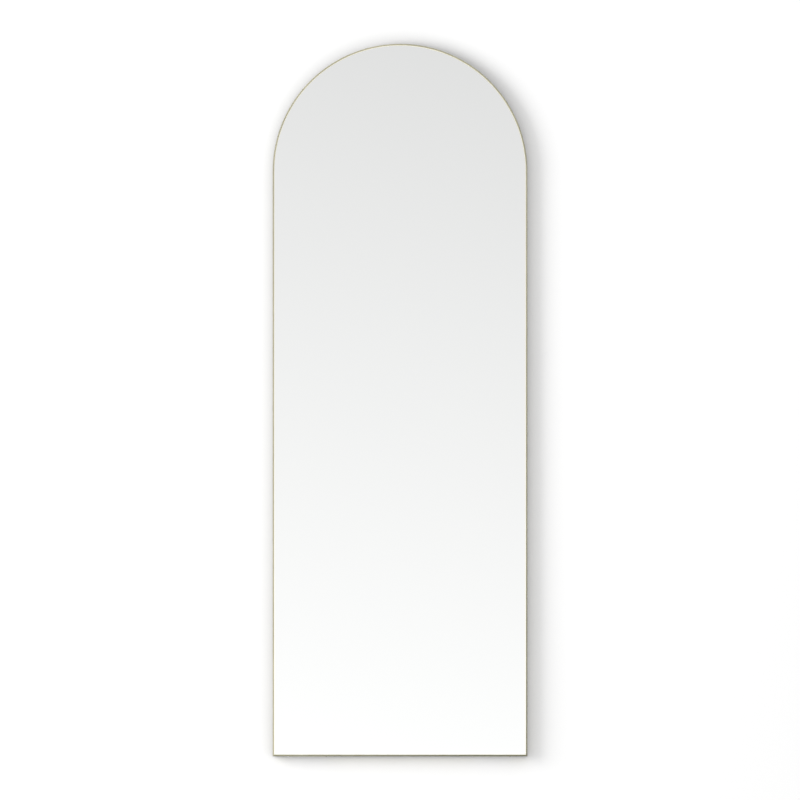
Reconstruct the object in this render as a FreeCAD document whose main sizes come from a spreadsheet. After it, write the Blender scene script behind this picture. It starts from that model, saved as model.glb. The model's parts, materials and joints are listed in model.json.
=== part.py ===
"""Arched leaning floor mirror, full length, in a slim brass-plated flat-bar frame.

The mirror stands upright: +Z runs up its long side, its face looks along -Y and its back along +Y.
The origin lies on the floor, in the middle of the width and half-way from the frame's front edge to
the wall bumpers' faces. All lengths are in millimetres.

How it is built, from the front to the back:
- a flat bar, set on edge, is bent into the two jambs and the arch, and mitred and welded to a sill;
- the glass sits in the bar with a safety film on its back, on two setting pads on the sill;
- strips of foam tape bond the glass to a board, which is screwed to lugs welded inside the bar;
- the board carries two hanging straps with D rings, a third one for a wall tether, and four bumpers;
- two rubber pads under the sill stand on the floor.
"""
import FreeCAD
import Part
import Sketcher
import math
import os

DOC = FreeCAD.newDocument("arched_floor_mirror")

# ----------------------------------------------------------------------------------------------
# Driving dimensions, a spreadsheet row each: name, size in mm (angles in degrees), what it is
# ----------------------------------------------------------------------------------------------
SIZES = [
    ("overall_width", 610.0, "across the outside of the jambs, 24 in"),
    ("overall_height", 1708.0, "floor to the crown of the arch, 67 1/4 in"),
    ("bar_thickness", 3.2, "flat bar: the thin brass line seen from the front"),
    ("bar_depth", 25.0, "flat bar, front edge to rear edge"),
    ("bar_front_round", 0.8, "rounding of the bar's front edges"),
    ("bar_rear_round", 0.5, "rounding of the bar's rear edges"),
    ("glass_thickness", 5.0, "silvered float glass"),
    ("glass_recess", 2.5, "bar's front edge to the face of the glass: far enough back to stand"),
    ("glass_side_gap", 0.3, "glass to bar, at the jambs and the arch"),
    ("glass_front_arris", 1.2, "ground arris round the face of the glass"),
    ("glass_rear_arris", 0.5, "arris round the back of the glass"),
    ("film_thickness", 0.3, "safety film on the silvering"),
    ("film_margin", 2.0, "edge of the glass to the edge of the film"),
    ("tape_thickness", 1.2, "foam bonding tape"),
    ("tape_width", 30.0, "foam bonding tape"),
    ("tape_end_margin", 30.0, "edge of the glass to the end of a tape strip"),
    ("tape_edge_inset", 25.0, "that margin's line to the outer strip's outer edge"),
    ("board_thickness", 9.0, "backing board"),
    ("board_side_gap", 1.0, "board to bar, at the jambs and the arch"),
    ("setting_pad_thickness", 0.8, "between the sill and the glass"),
    ("setting_pad_length", 80.0, "along the sill"),
    ("setting_pad_recess", 1.5, "face of the glass to the front of a setting pad"),
    ("setting_pad_end_gap", 80.0, "side of the glass to the end of a setting pad"),
    ("lug_thickness", 2.0, "screw lugs and corner gussets"),
    ("lug_width", 16.0, "along the bar"),
    ("lug_hole_reach", 12.0, "lug's root to the middle of its hole"),
    ("lug_weld_gap", 0.05, "bar to the root of a lug or gusset"),
    ("gusset_leg", 45.0, "corner gusset, along the jamb and along the sill"),
    ("gusset_tip", 8.0, "width left at the cut tips of a gusset"),
    ("gusset_hole_reach", 15.0, "both roots of a gusset to the middle of its hole"),
    ("screw_diameter", 3.5, "shank of every wood screw"),
    ("screw_point", 2.5, "length of a screw's point"),
    ("screw_head_diameter", 7.0, "pan head"),
    ("screw_head_height", 2.4, "pan head"),
    ("screw_head_round", 1.1, "rounding of the pan head"),
    ("screw_grip", 7.5, "how deep each screw sits in the board"),
    ("screw_hole_clearance", 0.25, "radial, screw to its hole in metal or rubber"),
    ("cross_length", 4.2, "cross recess of a screw, tip to tip"),
    ("cross_width", 0.9, "cross recess of a screw"),
    ("cross_depth", 1.4, "cross recess of a screw"),
    ("pilot_clearance", 0.05, "radial, screw to its hole in the board"),
    ("pilot_run_out", 0.5, "hole in the board, past the screw's point"),
    ("strap_thickness", 1.5, "hanging strap, sheet steel"),
    ("strap_width", 16.0, "hanging strap"),
    ("strap_end_margin", 8.0, "last hole to the strap's lower end"),
    ("strap_end_round", 6.0, "corners of the strap's lower end"),
    ("strap_hole_pitch", 12.0, "between the strap's two holes"),
    ("ring_wire_diameter", 3.2, "D ring"),
    ("ring_eye_clearance", 0.3, "radial, ring's wire to the strap's rolled eye"),
    ("ring_side_gap", 2.0, "strap's edge to the start of the ring's bend"),
    ("ring_corner_radius", 3.0, "D ring, bends beside its straight bar, at mid wire"),
    ("ring_side_length", 6.0, "D ring, straight sides"),
    ("ring_to_screw_gap", 2.0, "hanging ring to the head of the screw under it"),
    ("hanger_inset", 62.0, "inside of the jamb to the middle of a hanging strap"),
    ("hanger_drop", 173.0, "arch's centre down to the hanging rings' axis"),
    ("tether_drop", 66.0, "inside of the crown down to the tether ring's axis"),
    ("bumper_base_diameter", 20.0, "wall bumper, at the board"),
    ("bumper_tip_diameter", 17.0, "wall bumper, at the wall"),
    ("bumper_proud", 6.0, "bar's rear edge to the bumper's face"),
    ("bumper_floor", 5.0, "rubber under the bumper's washer"),
    ("bumper_tip_round", 1.5, "rounding of the bumper's rim"),
    ("bumper_well_clearance", 0.5, "radial, bumper's well to its washer"),
    ("washer_thickness", 1.0, "in the bumper"),
    ("washer_diameter", 9.0, "in the bumper"),
    ("low_bumper_inset", 60.0, "inside of the jamb to the middle of a low bumper"),
    ("low_bumper_rise", 85.0, "top of the sill to the middle of a low bumper"),
    ("high_bumper_inset", 60.0, "inside of the arch to the middle of a high bumper"),
    ("high_bumper_angle", 50.0, "degrees round the arch, up from its spring line"),
    ("floor_pad_thickness", 1.5, "rubber pads under the sill"),
    ("floor_pad_length", 90.0, "along the sill"),
    ("floor_pad_inset", 0.3, "sill's front and rear edges to a pad's: full depth, so that it stands"),
    ("floor_pad_end_gap", 40.0, "outside of the jamb to the end of a pad"),
    ("floor_pad_corner", 4.0, "rounding of a pad's corners"),
]

# How many there are of what repeats
ARCH_LUGS = 5
JAMB_LUGS = 4
SILL_LUGS = 2
TAPE_STRIPS = 5

# A rounding takes at most this share of the bar's thickness, so that two of them fit on one edge
LARGEST_ROUND = 0.45

# Each screw is turned by this many degrees more than the last, as hand-driven screws are
SCREW_TURN = 37.0

FULL_TURN = 360.0
HALF_TURN = 180.0
QUARTER_TURN = 90.0
SAME = 0.001

# ----------------------------------------------------------------------------------------------
# Places that follow from the sizes, as expressions
# ----------------------------------------------------------------------------------------------
FRONT = "(-(Sizes.bar_depth + Sizes.bumper_proud) / 2)"
BAR_REAR = f"({FRONT} + Sizes.bar_depth)"
GLASS_FRONT = f"({FRONT} + Sizes.glass_recess)"
GLASS_REAR = f"({GLASS_FRONT} + Sizes.glass_thickness)"
FILM_REAR = f"({GLASS_REAR} + Sizes.film_thickness)"
BOARD_FRONT = f"({FILM_REAR} + Sizes.tape_thickness)"
BOARD_REAR = f"({BOARD_FRONT} + Sizes.board_thickness)"

HALF_WIDTH = "(Sizes.overall_width / 2)"
INNER_HALF_WIDTH = f"({HALF_WIDTH} - Sizes.bar_thickness)"
GLASS_HALF_WIDTH = f"({INNER_HALF_WIDTH} - Sizes.glass_side_gap)"
BOARD_HALF_WIDTH = f"({INNER_HALF_WIDTH} - Sizes.board_side_gap)"
ARCH_CENTRE = f"(Sizes.overall_height - {HALF_WIDTH})"
SILL_BOTTOM = "Sizes.floor_pad_thickness"
SILL_TOP = f"({SILL_BOTTOM} + Sizes.bar_thickness)"
PANEL_BOTTOM = f"({SILL_TOP} + Sizes.setting_pad_thickness)"

SCREW_HOLE = "(Sizes.screw_diameter + 2 * Sizes.screw_hole_clearance)"
EYE_RADIUS = "(Sizes.ring_wire_diameter / 2 + Sizes.ring_eye_clearance)"
BARREL_RADIUS = f"({EYE_RADIUS} + Sizes.strap_thickness)"
RING_HALF_WIDTH = "(Sizes.strap_width / 2 + Sizes.ring_side_gap + Sizes.ring_corner_radius)"
RING_REACH = (f"(Sizes.ring_corner_radius + Sizes.ring_side_length + {RING_HALF_WIDTH}"
              " + Sizes.ring_wire_diameter / 2)")
NEAR_HOLE = f"({RING_REACH} + Sizes.ring_to_screw_gap + Sizes.screw_head_diameter / 2)"
FAR_HOLE = f"({NEAR_HOLE} + Sizes.strap_hole_pitch)"
STRAP_LENGTH = f"({FAR_HOLE} + Sizes.strap_end_margin)"
BUMPER_HEIGHT = f"({BAR_REAR} + Sizes.bumper_proud - {BOARD_REAR})"

HANGER_X = f"({INNER_HALF_WIDTH} - Sizes.hanger_inset)"
HANGER_Z = f"({ARCH_CENTRE} - Sizes.hanger_drop)"
TETHER_Z = "(Sizes.overall_height - Sizes.bar_thickness - Sizes.tether_drop)"
HANGERS = {"left": (f"-{HANGER_X}", HANGER_Z), "right": (HANGER_X, HANGER_Z), "tether": ("0", TETHER_Z)}

LOW_BUMPER_X = f"({INNER_HALF_WIDTH} - Sizes.low_bumper_inset)"
LOW_BUMPER_Z = f"({SILL_TOP} + Sizes.low_bumper_rise)"
HIGH_BUMPER_X = f"(({INNER_HALF_WIDTH} - Sizes.high_bumper_inset) * cos(Sizes.high_bumper_angle))"
HIGH_BUMPER_Z = (f"({ARCH_CENTRE}"
                 f" + ({INNER_HALF_WIDTH} - Sizes.high_bumper_inset) * sin(Sizes.high_bumper_angle))")
BUMPERS = {
    "low_bumper_left": (f"-{LOW_BUMPER_X}", LOW_BUMPER_Z),
    "low_bumper_right": (LOW_BUMPER_X, LOW_BUMPER_Z),
    "high_bumper_left": (f"-{HIGH_BUMPER_X}", HIGH_BUMPER_Z),
    "high_bumper_right": (HIGH_BUMPER_X, HIGH_BUMPER_Z),
}

# A side of the mirror: its name, and the sign of x there
SIDES = {"left": -1, "right": 1}


def fill_spreadsheet():
    sheet = DOC.addObject("Spreadsheet::Sheet", "Sizes")
    for row, (name, size, meaning) in enumerate(SIZES, 1):
        sheet.set(f"A{row}", name)
        sheet.set(f"B{row}", str(size))
        sheet.set(f"C{row}", meaning)
        sheet.setAlias(f"B{row}", name)
    DOC.recompute()


def value(expression):
    """The number that an expression stands for."""
    return float(DOC.Sizes.evalExpression(str(expression)))


# ----------------------------------------------------------------------------------------------
# Sketches
# ----------------------------------------------------------------------------------------------
def new_body(label):
    body = DOC.addObject("PartDesign::Body", label)
    body.Label = label
    return body


def new_sketch(body, plane, name, offset="0"):
    """An empty sketch on one of the body's own origin planes, moved along the plane's normal."""
    sketch = body.newObject("Sketcher::SketchObject", name)
    origin_plane = next(f for f in body.Origin.OriginFeatures if f.Role == plane)
    sketch.AttachmentSupport = [(origin_plane, "")]
    sketch.MapMode = "FlatFace"
    sketch.setExpression("AttachmentOffset.Base.z", offset)
    return sketch


def relate(sketch, kind, *geometry):
    sketch.addConstraint(Sketcher.Constraint(kind, *geometry))


def measure(sketch, kind, *geometry, size, name):
    """A named dimension, bound to the expression for its size."""
    index = sketch.addConstraint(Sketcher.Constraint(kind, *geometry, value(size)))
    sketch.renameConstraint(index, name)
    sketch.setExpression(f"Constraints.{name}", size)


def point(x, y):
    return FreeCAD.Vector(value(x), value(y), 0)


def line(sketch, start, end):
    return sketch.addGeometry(Part.LineSegment(start, end), False)


def arc(sketch, centre, radius, start_degrees, end_degrees):
    """An arc that runs anticlockwise from its start to its end."""
    full = Part.Circle(centre, FreeCAD.Vector(0, 0, 1), radius)
    turn = Part.ArcOfCircle(full, math.radians(start_degrees), math.radians(end_degrees))
    return sketch.addGeometry(turn, False)


def close(sketch, first, first_end, second, second_end):
    """Joins two open ends of an outline with a straight line."""
    link = line(sketch, sketch.getPoint(first, first_end), sketch.getPoint(second, second_end))
    relate(sketch, "Coincident", link, 1, first, first_end)
    relate(sketch, "Coincident", link, 2, second, second_end)


def polygon(sketch, corners):
    """A closed outline of straight lines through corners given as pairs of expressions."""
    points = [point(x, y) for x, y in corners]
    sides = [line(sketch, start, end) for start, end in zip(points, points[1:] + points[:1])]
    for side, following in zip(sides, sides[1:] + sides[:1]):
        relate(sketch, "Coincident", side, 2, following, 1)
    for number, (side, (x, y)) in enumerate(zip(sides, corners)):
        measure(sketch, "DistanceX", side, 1, size=x, name=f"across_{number}")
        measure(sketch, "DistanceY", side, 1, size=y, name=f"up_{number}")


def circle(sketch, x, y, diameter, name):
    radius = value(diameter) / 2
    ring = sketch.addGeometry(Part.Circle(point(x, y), FreeCAD.Vector(0, 0, 1), radius), False)
    measure(sketch, "DistanceX", ring, 3, size=x, name=f"{name}_across")
    measure(sketch, "DistanceY", ring, 3, size=y, name=f"{name}_up")
    measure(sketch, "Diameter", ring, size=diameter, name=f"{name}_size")


def arch(sketch, half_width, centre, foot, name):
    """A half circle on two upright sides. Returns the left side, the half circle and the right side."""
    radius = value(half_width)
    left = line(sketch, point(f"-{half_width}", foot), point(f"-{half_width}", centre))
    bow = arc(sketch, point("0", centre), radius, 0, HALF_TURN)
    right = line(sketch, point(half_width, centre), point(half_width, foot))
    relate(sketch, "Vertical", left)
    relate(sketch, "Vertical", right)
    relate(sketch, "Tangent", left, 2, bow, 2)
    relate(sketch, "Tangent", bow, 1, right, 1)
    relate(sketch, "PointOnObject", bow, 3, -2)
    measure(sketch, "DistanceY", bow, 3, size=centre, name=f"{name}_centre")
    measure(sketch, "Radius", bow, size=half_width, name=f"{name}_radius")
    measure(sketch, "DistanceY", left, 1, size=foot, name=f"{name}_left_foot")
    measure(sketch, "DistanceY", right, 2, size=foot, name=f"{name}_right_foot")
    return left, bow, right


def arched_outline(sketch, half_width, centre, foot):
    """A closed outline with an arched top and a straight foot."""
    left, _, right = arch(sketch, half_width, centre, foot, "outline")
    close(sketch, left, 1, right, 2)


# ----------------------------------------------------------------------------------------------
# Solids
# ----------------------------------------------------------------------------------------------
def bind(thing, **expressions):
    for name, expression in expressions.items():
        thing.setExpression(name, str(expression))


def place(thing, x="0", y="0", z="0"):
    for axis, expression in (("x", x), ("y", y), ("z", z)):
        thing.setExpression(f"Placement.Base.{axis}", str(expression))
    return thing


def pad(body, sketch, length, backwards=False, both_ways=False):
    feature = body.newObject("PartDesign::Pad", "Pad")
    feature.Profile = sketch
    feature.Reversed = backwards
    feature.SideType = "Symmetric" if both_ways else "One side"
    bind(feature, Length=length)
    DOC.recompute()


def revolve(body, sketch):
    """Turns a sketch a full turn about its own vertical axis."""
    feature = body.newObject("PartDesign::Revolution", "Revolution")
    feature.Profile = sketch
    feature.ReferenceAxis = (sketch, ["V_Axis"])
    feature.Angle = FULL_TURN
    DOC.recompute()


def pocket(body, sketch, depth=None, backwards=False):
    """A cut of the given depth, or right through. It has to take something away."""
    before = body.Shape.Volume
    feature = body.newObject("PartDesign::Pocket", "Pocket")
    feature.Profile = sketch
    feature.Reversed = backwards
    if depth is None:
        feature.Type = "ThroughAll"
    else:
        bind(feature, Length=depth)
    DOC.recompute()
    if feature.Shape.Volume >= before:
        raise RuntimeError(f"{body.Label}: the cut {sketch.Label} took nothing away")


def dress(body, kind, chosen, **size):
    """A fillet or a chamfer on the body's edges for which chosen(edge) is true."""
    base = body.Tip
    edges = [f"Edge{number}" for number, edge in enumerate(base.Shape.Edges, 1) if chosen(edge)]
    feature = body.newObject(kind, kind.split("::")[1])
    feature.Base = (base, edges)
    bind(feature, **size)
    DOC.recompute()


def flat_at(edge, axis, height):
    """Does the edge lie at this height along this axis, from end to end?"""
    low = getattr(edge.BoundBox, f"{axis}Min")
    high = getattr(edge.BoundBox, f"{axis}Max")
    return abs(low - height) < SAME and abs(high - height) < SAME


def box(label, length, width, height, x, y, z):
    """A block with its lowest corner at x, y, z."""
    block = DOC.addObject("Part::Box", label)
    block.Label = label
    bind(block, Length=length, Width=width, Height=height)
    return place(block, x, y, z)


def group(label, members):
    """Separate solids that share one node."""
    compound = DOC.addObject("Part::Compound", label)
    compound.Label = label
    compound.Links = members
    return compound


def repeat(label, template, spots):
    """A node of copies of a template, each at its x, y, z and turned by degrees from +X towards +Z."""
    copies = []
    for number, (x, y, z, degrees) in enumerate(spots, 1):
        copy = DOC.addObject("App::Link", f"{label}_{number}")
        copy.LinkedObject = template
        turn = FreeCAD.Rotation(FreeCAD.Vector(0, -1, 0), degrees)
        copy.Placement = FreeCAD.Placement(FreeCAD.Vector(), turn)
        copies.append(place(copy, x, y, z))
    return group(label, copies)


# ----------------------------------------------------------------------------------------------
# The frame: flat bar on edge
# ----------------------------------------------------------------------------------------------
def round_bar_edges(body):
    """Rounds the long edges of a bar, whose front edge lies at y = 0 in its own body."""
    depth = value("Sizes.bar_depth")
    limit = f"Sizes.bar_thickness * {LARGEST_ROUND}"
    for y, rounding in ((0, "Sizes.bar_front_round"), (depth, "Sizes.bar_rear_round")):
        dress(body, "PartDesign::Fillet", lambda edge: flat_at(edge, "Y", y) and edge.Length > depth,
              Radius=f"min({rounding}; {limit})")


def frame_arch_band():
    """One bar bent into both jambs and the arch, with its two feet mitred."""
    body = new_body("frame_arch_band")
    sketch = new_sketch(body, "XZ_Plane", "bar_on_edge")
    outer_left, _, outer_right = arch(sketch, HALF_WIDTH, ARCH_CENTRE, SILL_BOTTOM, "outer")
    inner_left, _, inner_right = arch(sketch, INNER_HALF_WIDTH, ARCH_CENTRE, SILL_TOP, "inner")
    close(sketch, outer_left, 1, inner_left, 1)
    close(sketch, outer_right, 2, inner_right, 2)
    pad(body, sketch, "Sizes.bar_depth", backwards=True)
    round_bar_edges(body)
    return place(body, y=FRONT)


def frame_sill():
    """The straight bar along the floor, mitred at both ends."""
    body = new_body("frame_sill")
    sketch = new_sketch(body, "XZ_Plane", "bar_on_edge")
    polygon(sketch, [
        (f"-{HALF_WIDTH}", SILL_BOTTOM),
        (HALF_WIDTH, SILL_BOTTOM),
        (INNER_HALF_WIDTH, SILL_TOP),
        (f"-{INNER_HALF_WIDTH}", SILL_TOP),
    ])
    pad(body, sketch, "Sizes.bar_depth", backwards=True)
    round_bar_edges(body)
    return place(body, y=FRONT)


def corner_gusset(side):
    """A three-cornered plate behind the board, welded to the jamb and the sill."""
    sign = SIDES[side]
    jamb = f"({INNER_HALF_WIDTH} - Sizes.lug_weld_gap)"
    foot = f"({SILL_TOP} + Sizes.lug_weld_gap)"
    outline = [
        (jamb, foot),
        (jamb, f"{foot} + Sizes.gusset_leg"),
        (f"{jamb} - Sizes.gusset_tip", f"{foot} + Sizes.gusset_leg"),
        (f"{jamb} - Sizes.gusset_leg", f"{foot} + Sizes.gusset_tip"),
        (f"{jamb} - Sizes.gusset_leg", foot),
    ]
    body = new_body(f"corner_gusset_{side}")
    sketch = new_sketch(body, "XZ_Plane", "plate")
    polygon(sketch, [(f"{sign} * ({x})", z) for x, z in outline])
    hole_x, hole_z = gusset_hole(side)
    circle(sketch, hole_x, hole_z, SCREW_HOLE, "hole")
    pad(body, sketch, "Sizes.lug_thickness", backwards=True)
    return place(body, y=BOARD_REAR)


def gusset_hole(side):
    reach = "Sizes.lug_weld_gap + Sizes.gusset_hole_reach"
    return f"{SIDES[side]} * ({INNER_HALF_WIDTH} - ({reach}))", f"{SILL_TOP} + {reach}"


def lug_template():
    """A lug with its root at the origin and its round end pointing up."""
    body = new_body("lug")
    sketch = new_sketch(body, "XZ_Plane", "tongue")
    arched_outline(sketch, "(Sizes.lug_width / 2)", "Sizes.lug_hole_reach", "0")
    circle(sketch, "0", "Sizes.lug_hole_reach", SCREW_HOLE, "hole")
    pad(body, sketch, "Sizes.lug_thickness", backwards=True)
    return body


def arch_lug_roots():
    """Lugs at even steps round the arch. A root is its x, its z and its bearing from the centre."""
    inner = f"sqrt({INNER_HALF_WIDTH}^2 - (Sizes.lug_width / 2)^2)"
    radius = f"({inner} - Sizes.lug_weld_gap)"
    bearings = [HALF_TURN * step / (ARCH_LUGS + 1) for step in range(1, ARCH_LUGS + 1)]
    return [(f"{radius} * cos({bearing})", f"{ARCH_CENTRE} + {radius} * sin({bearing})", bearing)
            for bearing in bearings]


def jamb_lug_roots(side):
    """Lugs at even steps from the sill up to the spring line of the arch."""
    x = f"{SIDES[side]} * ({INNER_HALF_WIDTH} - Sizes.lug_weld_gap)"
    bearing = 0.0 if side == "right" else HALF_TURN
    return [(x, f"{SILL_TOP} + ({ARCH_CENTRE} - {SILL_TOP}) * {step / JAMB_LUGS}", bearing)
            for step in range(1, JAMB_LUGS + 1)]


def sill_lug_roots():
    """Lugs at even steps between the jambs."""
    shares = [2 * step / (SILL_LUGS + 1) - 1 for step in range(1, SILL_LUGS + 1)]
    return [(f"{INNER_HALF_WIDTH} * {share}", f"{SILL_TOP} + Sizes.lug_weld_gap", -QUARTER_TURN)
            for share in shares]


LUG_ROWS = {
    "arch_lugs": arch_lug_roots(),
    "left_jamb_lugs": jamb_lug_roots("left"),
    "right_jamb_lugs": jamb_lug_roots("right"),
    "sill_lugs": sill_lug_roots(),
}


def lugs(label, template):
    spots = [(x, BOARD_REAR, z, bearing + QUARTER_TURN) for x, z, bearing in LUG_ROWS[label]]
    return repeat(label, template, spots)


def lug_hole(root):
    x, z, bearing = root
    reach = "Sizes.lug_hole_reach"
    return f"{x} - {reach} * cos({bearing})", f"{z} - {reach} * sin({bearing})"


# ----------------------------------------------------------------------------------------------
# Screws. Each place is the x and the z of a screw's axis
# ----------------------------------------------------------------------------------------------
def board_screw_places():
    holes = [lug_hole(root) for row in LUG_ROWS.values() for root in row]
    return holes + [gusset_hole(side) for side in SIDES]


def hanger_screw_places(name):
    x, z = HANGERS[name]
    return [(x, f"{z} - {hole}") for hole in (NEAR_HOLE, FAR_HOLE)]


def screw_template(label, stand_off):
    """A cross-recessed pan-head screw, head up the y axis from its seat at the origin."""
    head = "Sizes.screw_head_diameter / 2"
    shank = "Sizes.screw_diameter / 2"
    tip = f"-({stand_off} + Sizes.screw_grip)"
    body = new_body(label)
    profile = new_sketch(body, "XY_Plane", "profile")
    polygon(profile, [
        ("0", "Sizes.screw_head_height"),
        ("0", tip),
        (shank, f"{tip} + Sizes.screw_point"),
        (shank, "0"),
        (head, "0"),
        (head, "Sizes.screw_head_height"),
    ])
    revolve(body, profile)
    top = value("Sizes.screw_head_height")
    dress(body, "PartDesign::Fillet", lambda edge: flat_at(edge, "Y", top), Radius="Sizes.screw_head_round")
    cut_cross(body)
    return body


def cut_cross(body):
    long, short = "(Sizes.cross_length / 2)", "(Sizes.cross_width / 2)"
    cross = new_sketch(body, "XZ_Plane", "cross_recess", "-Sizes.screw_head_height")
    polygon(cross, [
        (long, f"-{short}"), (long, short), (short, short),
        (short, long), (f"-{short}", long), (f"-{short}", short),
        (f"-{long}", short), (f"-{long}", f"-{short}"), (f"-{short}", f"-{short}"),
        (f"-{short}", f"-{long}"), (short, f"-{long}"), (short, f"-{short}"),
    ])
    pocket(body, cross, "Sizes.cross_depth", backwards=True)


def screws(label, template, places, stand_off):
    """Screws whose heads seat at a stand-off behind the board."""
    seat = f"{BOARD_REAR} + {stand_off}"
    return repeat(label, template, [(x, seat, z, SCREW_TURN * number)
                                    for number, (x, z) in enumerate(places)])


# ----------------------------------------------------------------------------------------------
# Glass, film, tape, pads and board
# ----------------------------------------------------------------------------------------------
def arched_panel(label, half_width, foot, thickness, y):
    body = new_body(label)
    sketch = new_sketch(body, "XZ_Plane", "outline")
    arched_outline(sketch, half_width, ARCH_CENTRE, foot)
    pad(body, sketch, thickness, backwards=True)
    return place(body, y=y)


def mirror_glass():
    body = arched_panel("mirror_glass", GLASS_HALF_WIDTH, PANEL_BOTTOM, "Sizes.glass_thickness", GLASS_FRONT)
    rear = value("Sizes.glass_thickness")
    for y, arris in ((0, "Sizes.glass_front_arris"), (rear, "Sizes.glass_rear_arris")):
        dress(body, "PartDesign::Chamfer", lambda edge: flat_at(edge, "Y", y), Size=arris)
    return body


def safety_film():
    return arched_panel("safety_film", f"({GLASS_HALF_WIDTH} - Sizes.film_margin)",
                        f"({PANEL_BOTTOM} + Sizes.film_margin)", "Sizes.film_thickness", GLASS_REAR)


def bonding_tape():
    """Upright strips, evenly spread, each cut square just short of the edge of the glass."""
    margin_radius = f"({GLASS_HALF_WIDTH} - Sizes.tape_end_margin)"
    outer_middle = f"({margin_radius} - Sizes.tape_edge_inset - Sizes.tape_width / 2)"
    foot = f"({PANEL_BOTTOM} + Sizes.tape_end_margin)"
    strips = []
    for number in range(TAPE_STRIPS):
        share = 2 * number / (TAPE_STRIPS - 1) - 1
        far_edge = f"({outer_middle} * {abs(share)} + Sizes.tape_width / 2)"
        top = f"({ARCH_CENTRE} + sqrt({margin_radius}^2 - {far_edge}^2))"
        strips.append(box(f"tape_strip_{number + 1}", "Sizes.tape_width", "Sizes.tape_thickness",
                          f"{top} - {foot}", f"{outer_middle} * {share} - Sizes.tape_width / 2",
                          FILM_REAR, foot))
    return group("bonding_tape", strips)


def backing_board():
    """The board, with a blind pilot hole for every screw."""
    body = arched_panel("backing_board", BOARD_HALF_WIDTH, PANEL_BOTTOM, "Sizes.board_thickness", BOARD_FRONT)
    places = board_screw_places() + list(BUMPERS.values())
    for name in HANGERS:
        places += hanger_screw_places(name)
    holes = new_sketch(body, "XZ_Plane", "pilot_holes", "-Sizes.board_thickness")
    for number, (x, z) in enumerate(places, 1):
        circle(holes, x, z, "Sizes.screw_diameter + 2 * Sizes.pilot_clearance", f"pilot_{number}")
    pocket(body, holes, "Sizes.screw_grip + Sizes.pilot_run_out", backwards=True)
    return body


def setting_pad(side):
    """A pad on the sill that carries the glass and the board."""
    inner_end = f"({GLASS_HALF_WIDTH} - Sizes.setting_pad_end_gap - Sizes.setting_pad_length)"
    start = inner_end if side == "right" else f"-({inner_end} + Sizes.setting_pad_length)"
    front = f"({GLASS_FRONT} + Sizes.setting_pad_recess)"
    return box(f"setting_pad_{side}", "Sizes.setting_pad_length", f"{BOARD_REAR} - {front}",
               "Sizes.setting_pad_thickness", start, front, SILL_TOP)


def floor_pad(side):
    """A rubber pad under the sill, with rounded corners."""
    outer_end = f"({HALF_WIDTH} - Sizes.floor_pad_end_gap)"
    inner_end = f"({outer_end} - Sizes.floor_pad_length)"
    front = "Sizes.floor_pad_inset"
    rear = "(Sizes.bar_depth - Sizes.floor_pad_inset)"
    sign = SIDES[side]
    body = new_body(f"floor_pad_{side}")
    sketch = new_sketch(body, "XY_Plane", "outline")
    polygon(sketch, [(f"{sign} * {x}", y) for x, y in (
        (inner_end, front), (outer_end, front), (outer_end, rear), (inner_end, rear))])
    pad(body, sketch, "Sizes.floor_pad_thickness")
    dress(body, "PartDesign::Fillet", lambda edge: edge.BoundBox.ZLength > SAME, Radius="Sizes.floor_pad_corner")
    return place(body, y=FRONT)


# ----------------------------------------------------------------------------------------------
# Hangers: a strap with a rolled eye, and the D ring that swings in it
# ----------------------------------------------------------------------------------------------
def side_view_of_strap(sketch):
    """Flat on the board, with the upper end rolled round the ring's wire, whose axis is at z = 0."""
    thickness = "Sizes.strap_thickness"
    barrel, sheet = value(BARREL_RADIUS), value(thickness)
    curl_start = HALF_TURN + math.degrees(math.acos((barrel - sheet) / barrel))
    back = line(sketch, point("0", f"-{STRAP_LENGTH}"), point("0", "0"))
    curl = arc(sketch, point(BARREL_RADIUS, "0"), barrel, curl_start, FULL_TURN + HALF_TURN)
    face = line(sketch, sketch.getPoint(curl, 1), point(thickness, f"-{STRAP_LENGTH}"))
    relate(sketch, "Vertical", back)
    relate(sketch, "Vertical", face)
    relate(sketch, "Tangent", back, 2, curl, 2)
    relate(sketch, "Coincident", face, 1, curl, 1)
    relate(sketch, "PointOnObject", curl, 3, -1)
    measure(sketch, "DistanceX", curl, 3, size=BARREL_RADIUS, name="barrel_middle")
    measure(sketch, "Radius", curl, size=BARREL_RADIUS, name="barrel_radius")
    measure(sketch, "DistanceX", face, 2, size=thickness, name="sheet")
    measure(sketch, "DistanceY", face, 2, size=f"-{STRAP_LENGTH}", name="face_end")
    measure(sketch, "DistanceY", back, 1, size=f"-{STRAP_LENGTH}", name="back_end")
    close(sketch, face, 2, back, 1)
    circle(sketch, BARREL_RADIUS, "0", f"2 * {EYE_RADIUS}", "eye")


def hanger_strap(name):
    body = new_body(f"{name}_hanger_strap")
    side_view = new_sketch(body, "YZ_Plane", "side_view")
    side_view_of_strap(side_view)
    pad(body, side_view, "Sizes.strap_width", both_ways=True)
    lower_end = -value(STRAP_LENGTH)
    dress(body, "PartDesign::Fillet",
          lambda edge: flat_at(edge, "Z", lower_end) and edge.BoundBox.XLength < SAME,
          Radius="Sizes.strap_end_round")
    holes = new_sketch(body, "XZ_Plane", "screw_holes")
    circle(holes, "0", f"-{NEAR_HOLE}", SCREW_HOLE, "near_hole")
    circle(holes, "0", f"-{FAR_HOLE}", SCREW_HOLE, "far_hole")
    pocket(body, holes)
    x, z = HANGERS[name]
    return place(body, x, BOARD_REAR, z)


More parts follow.
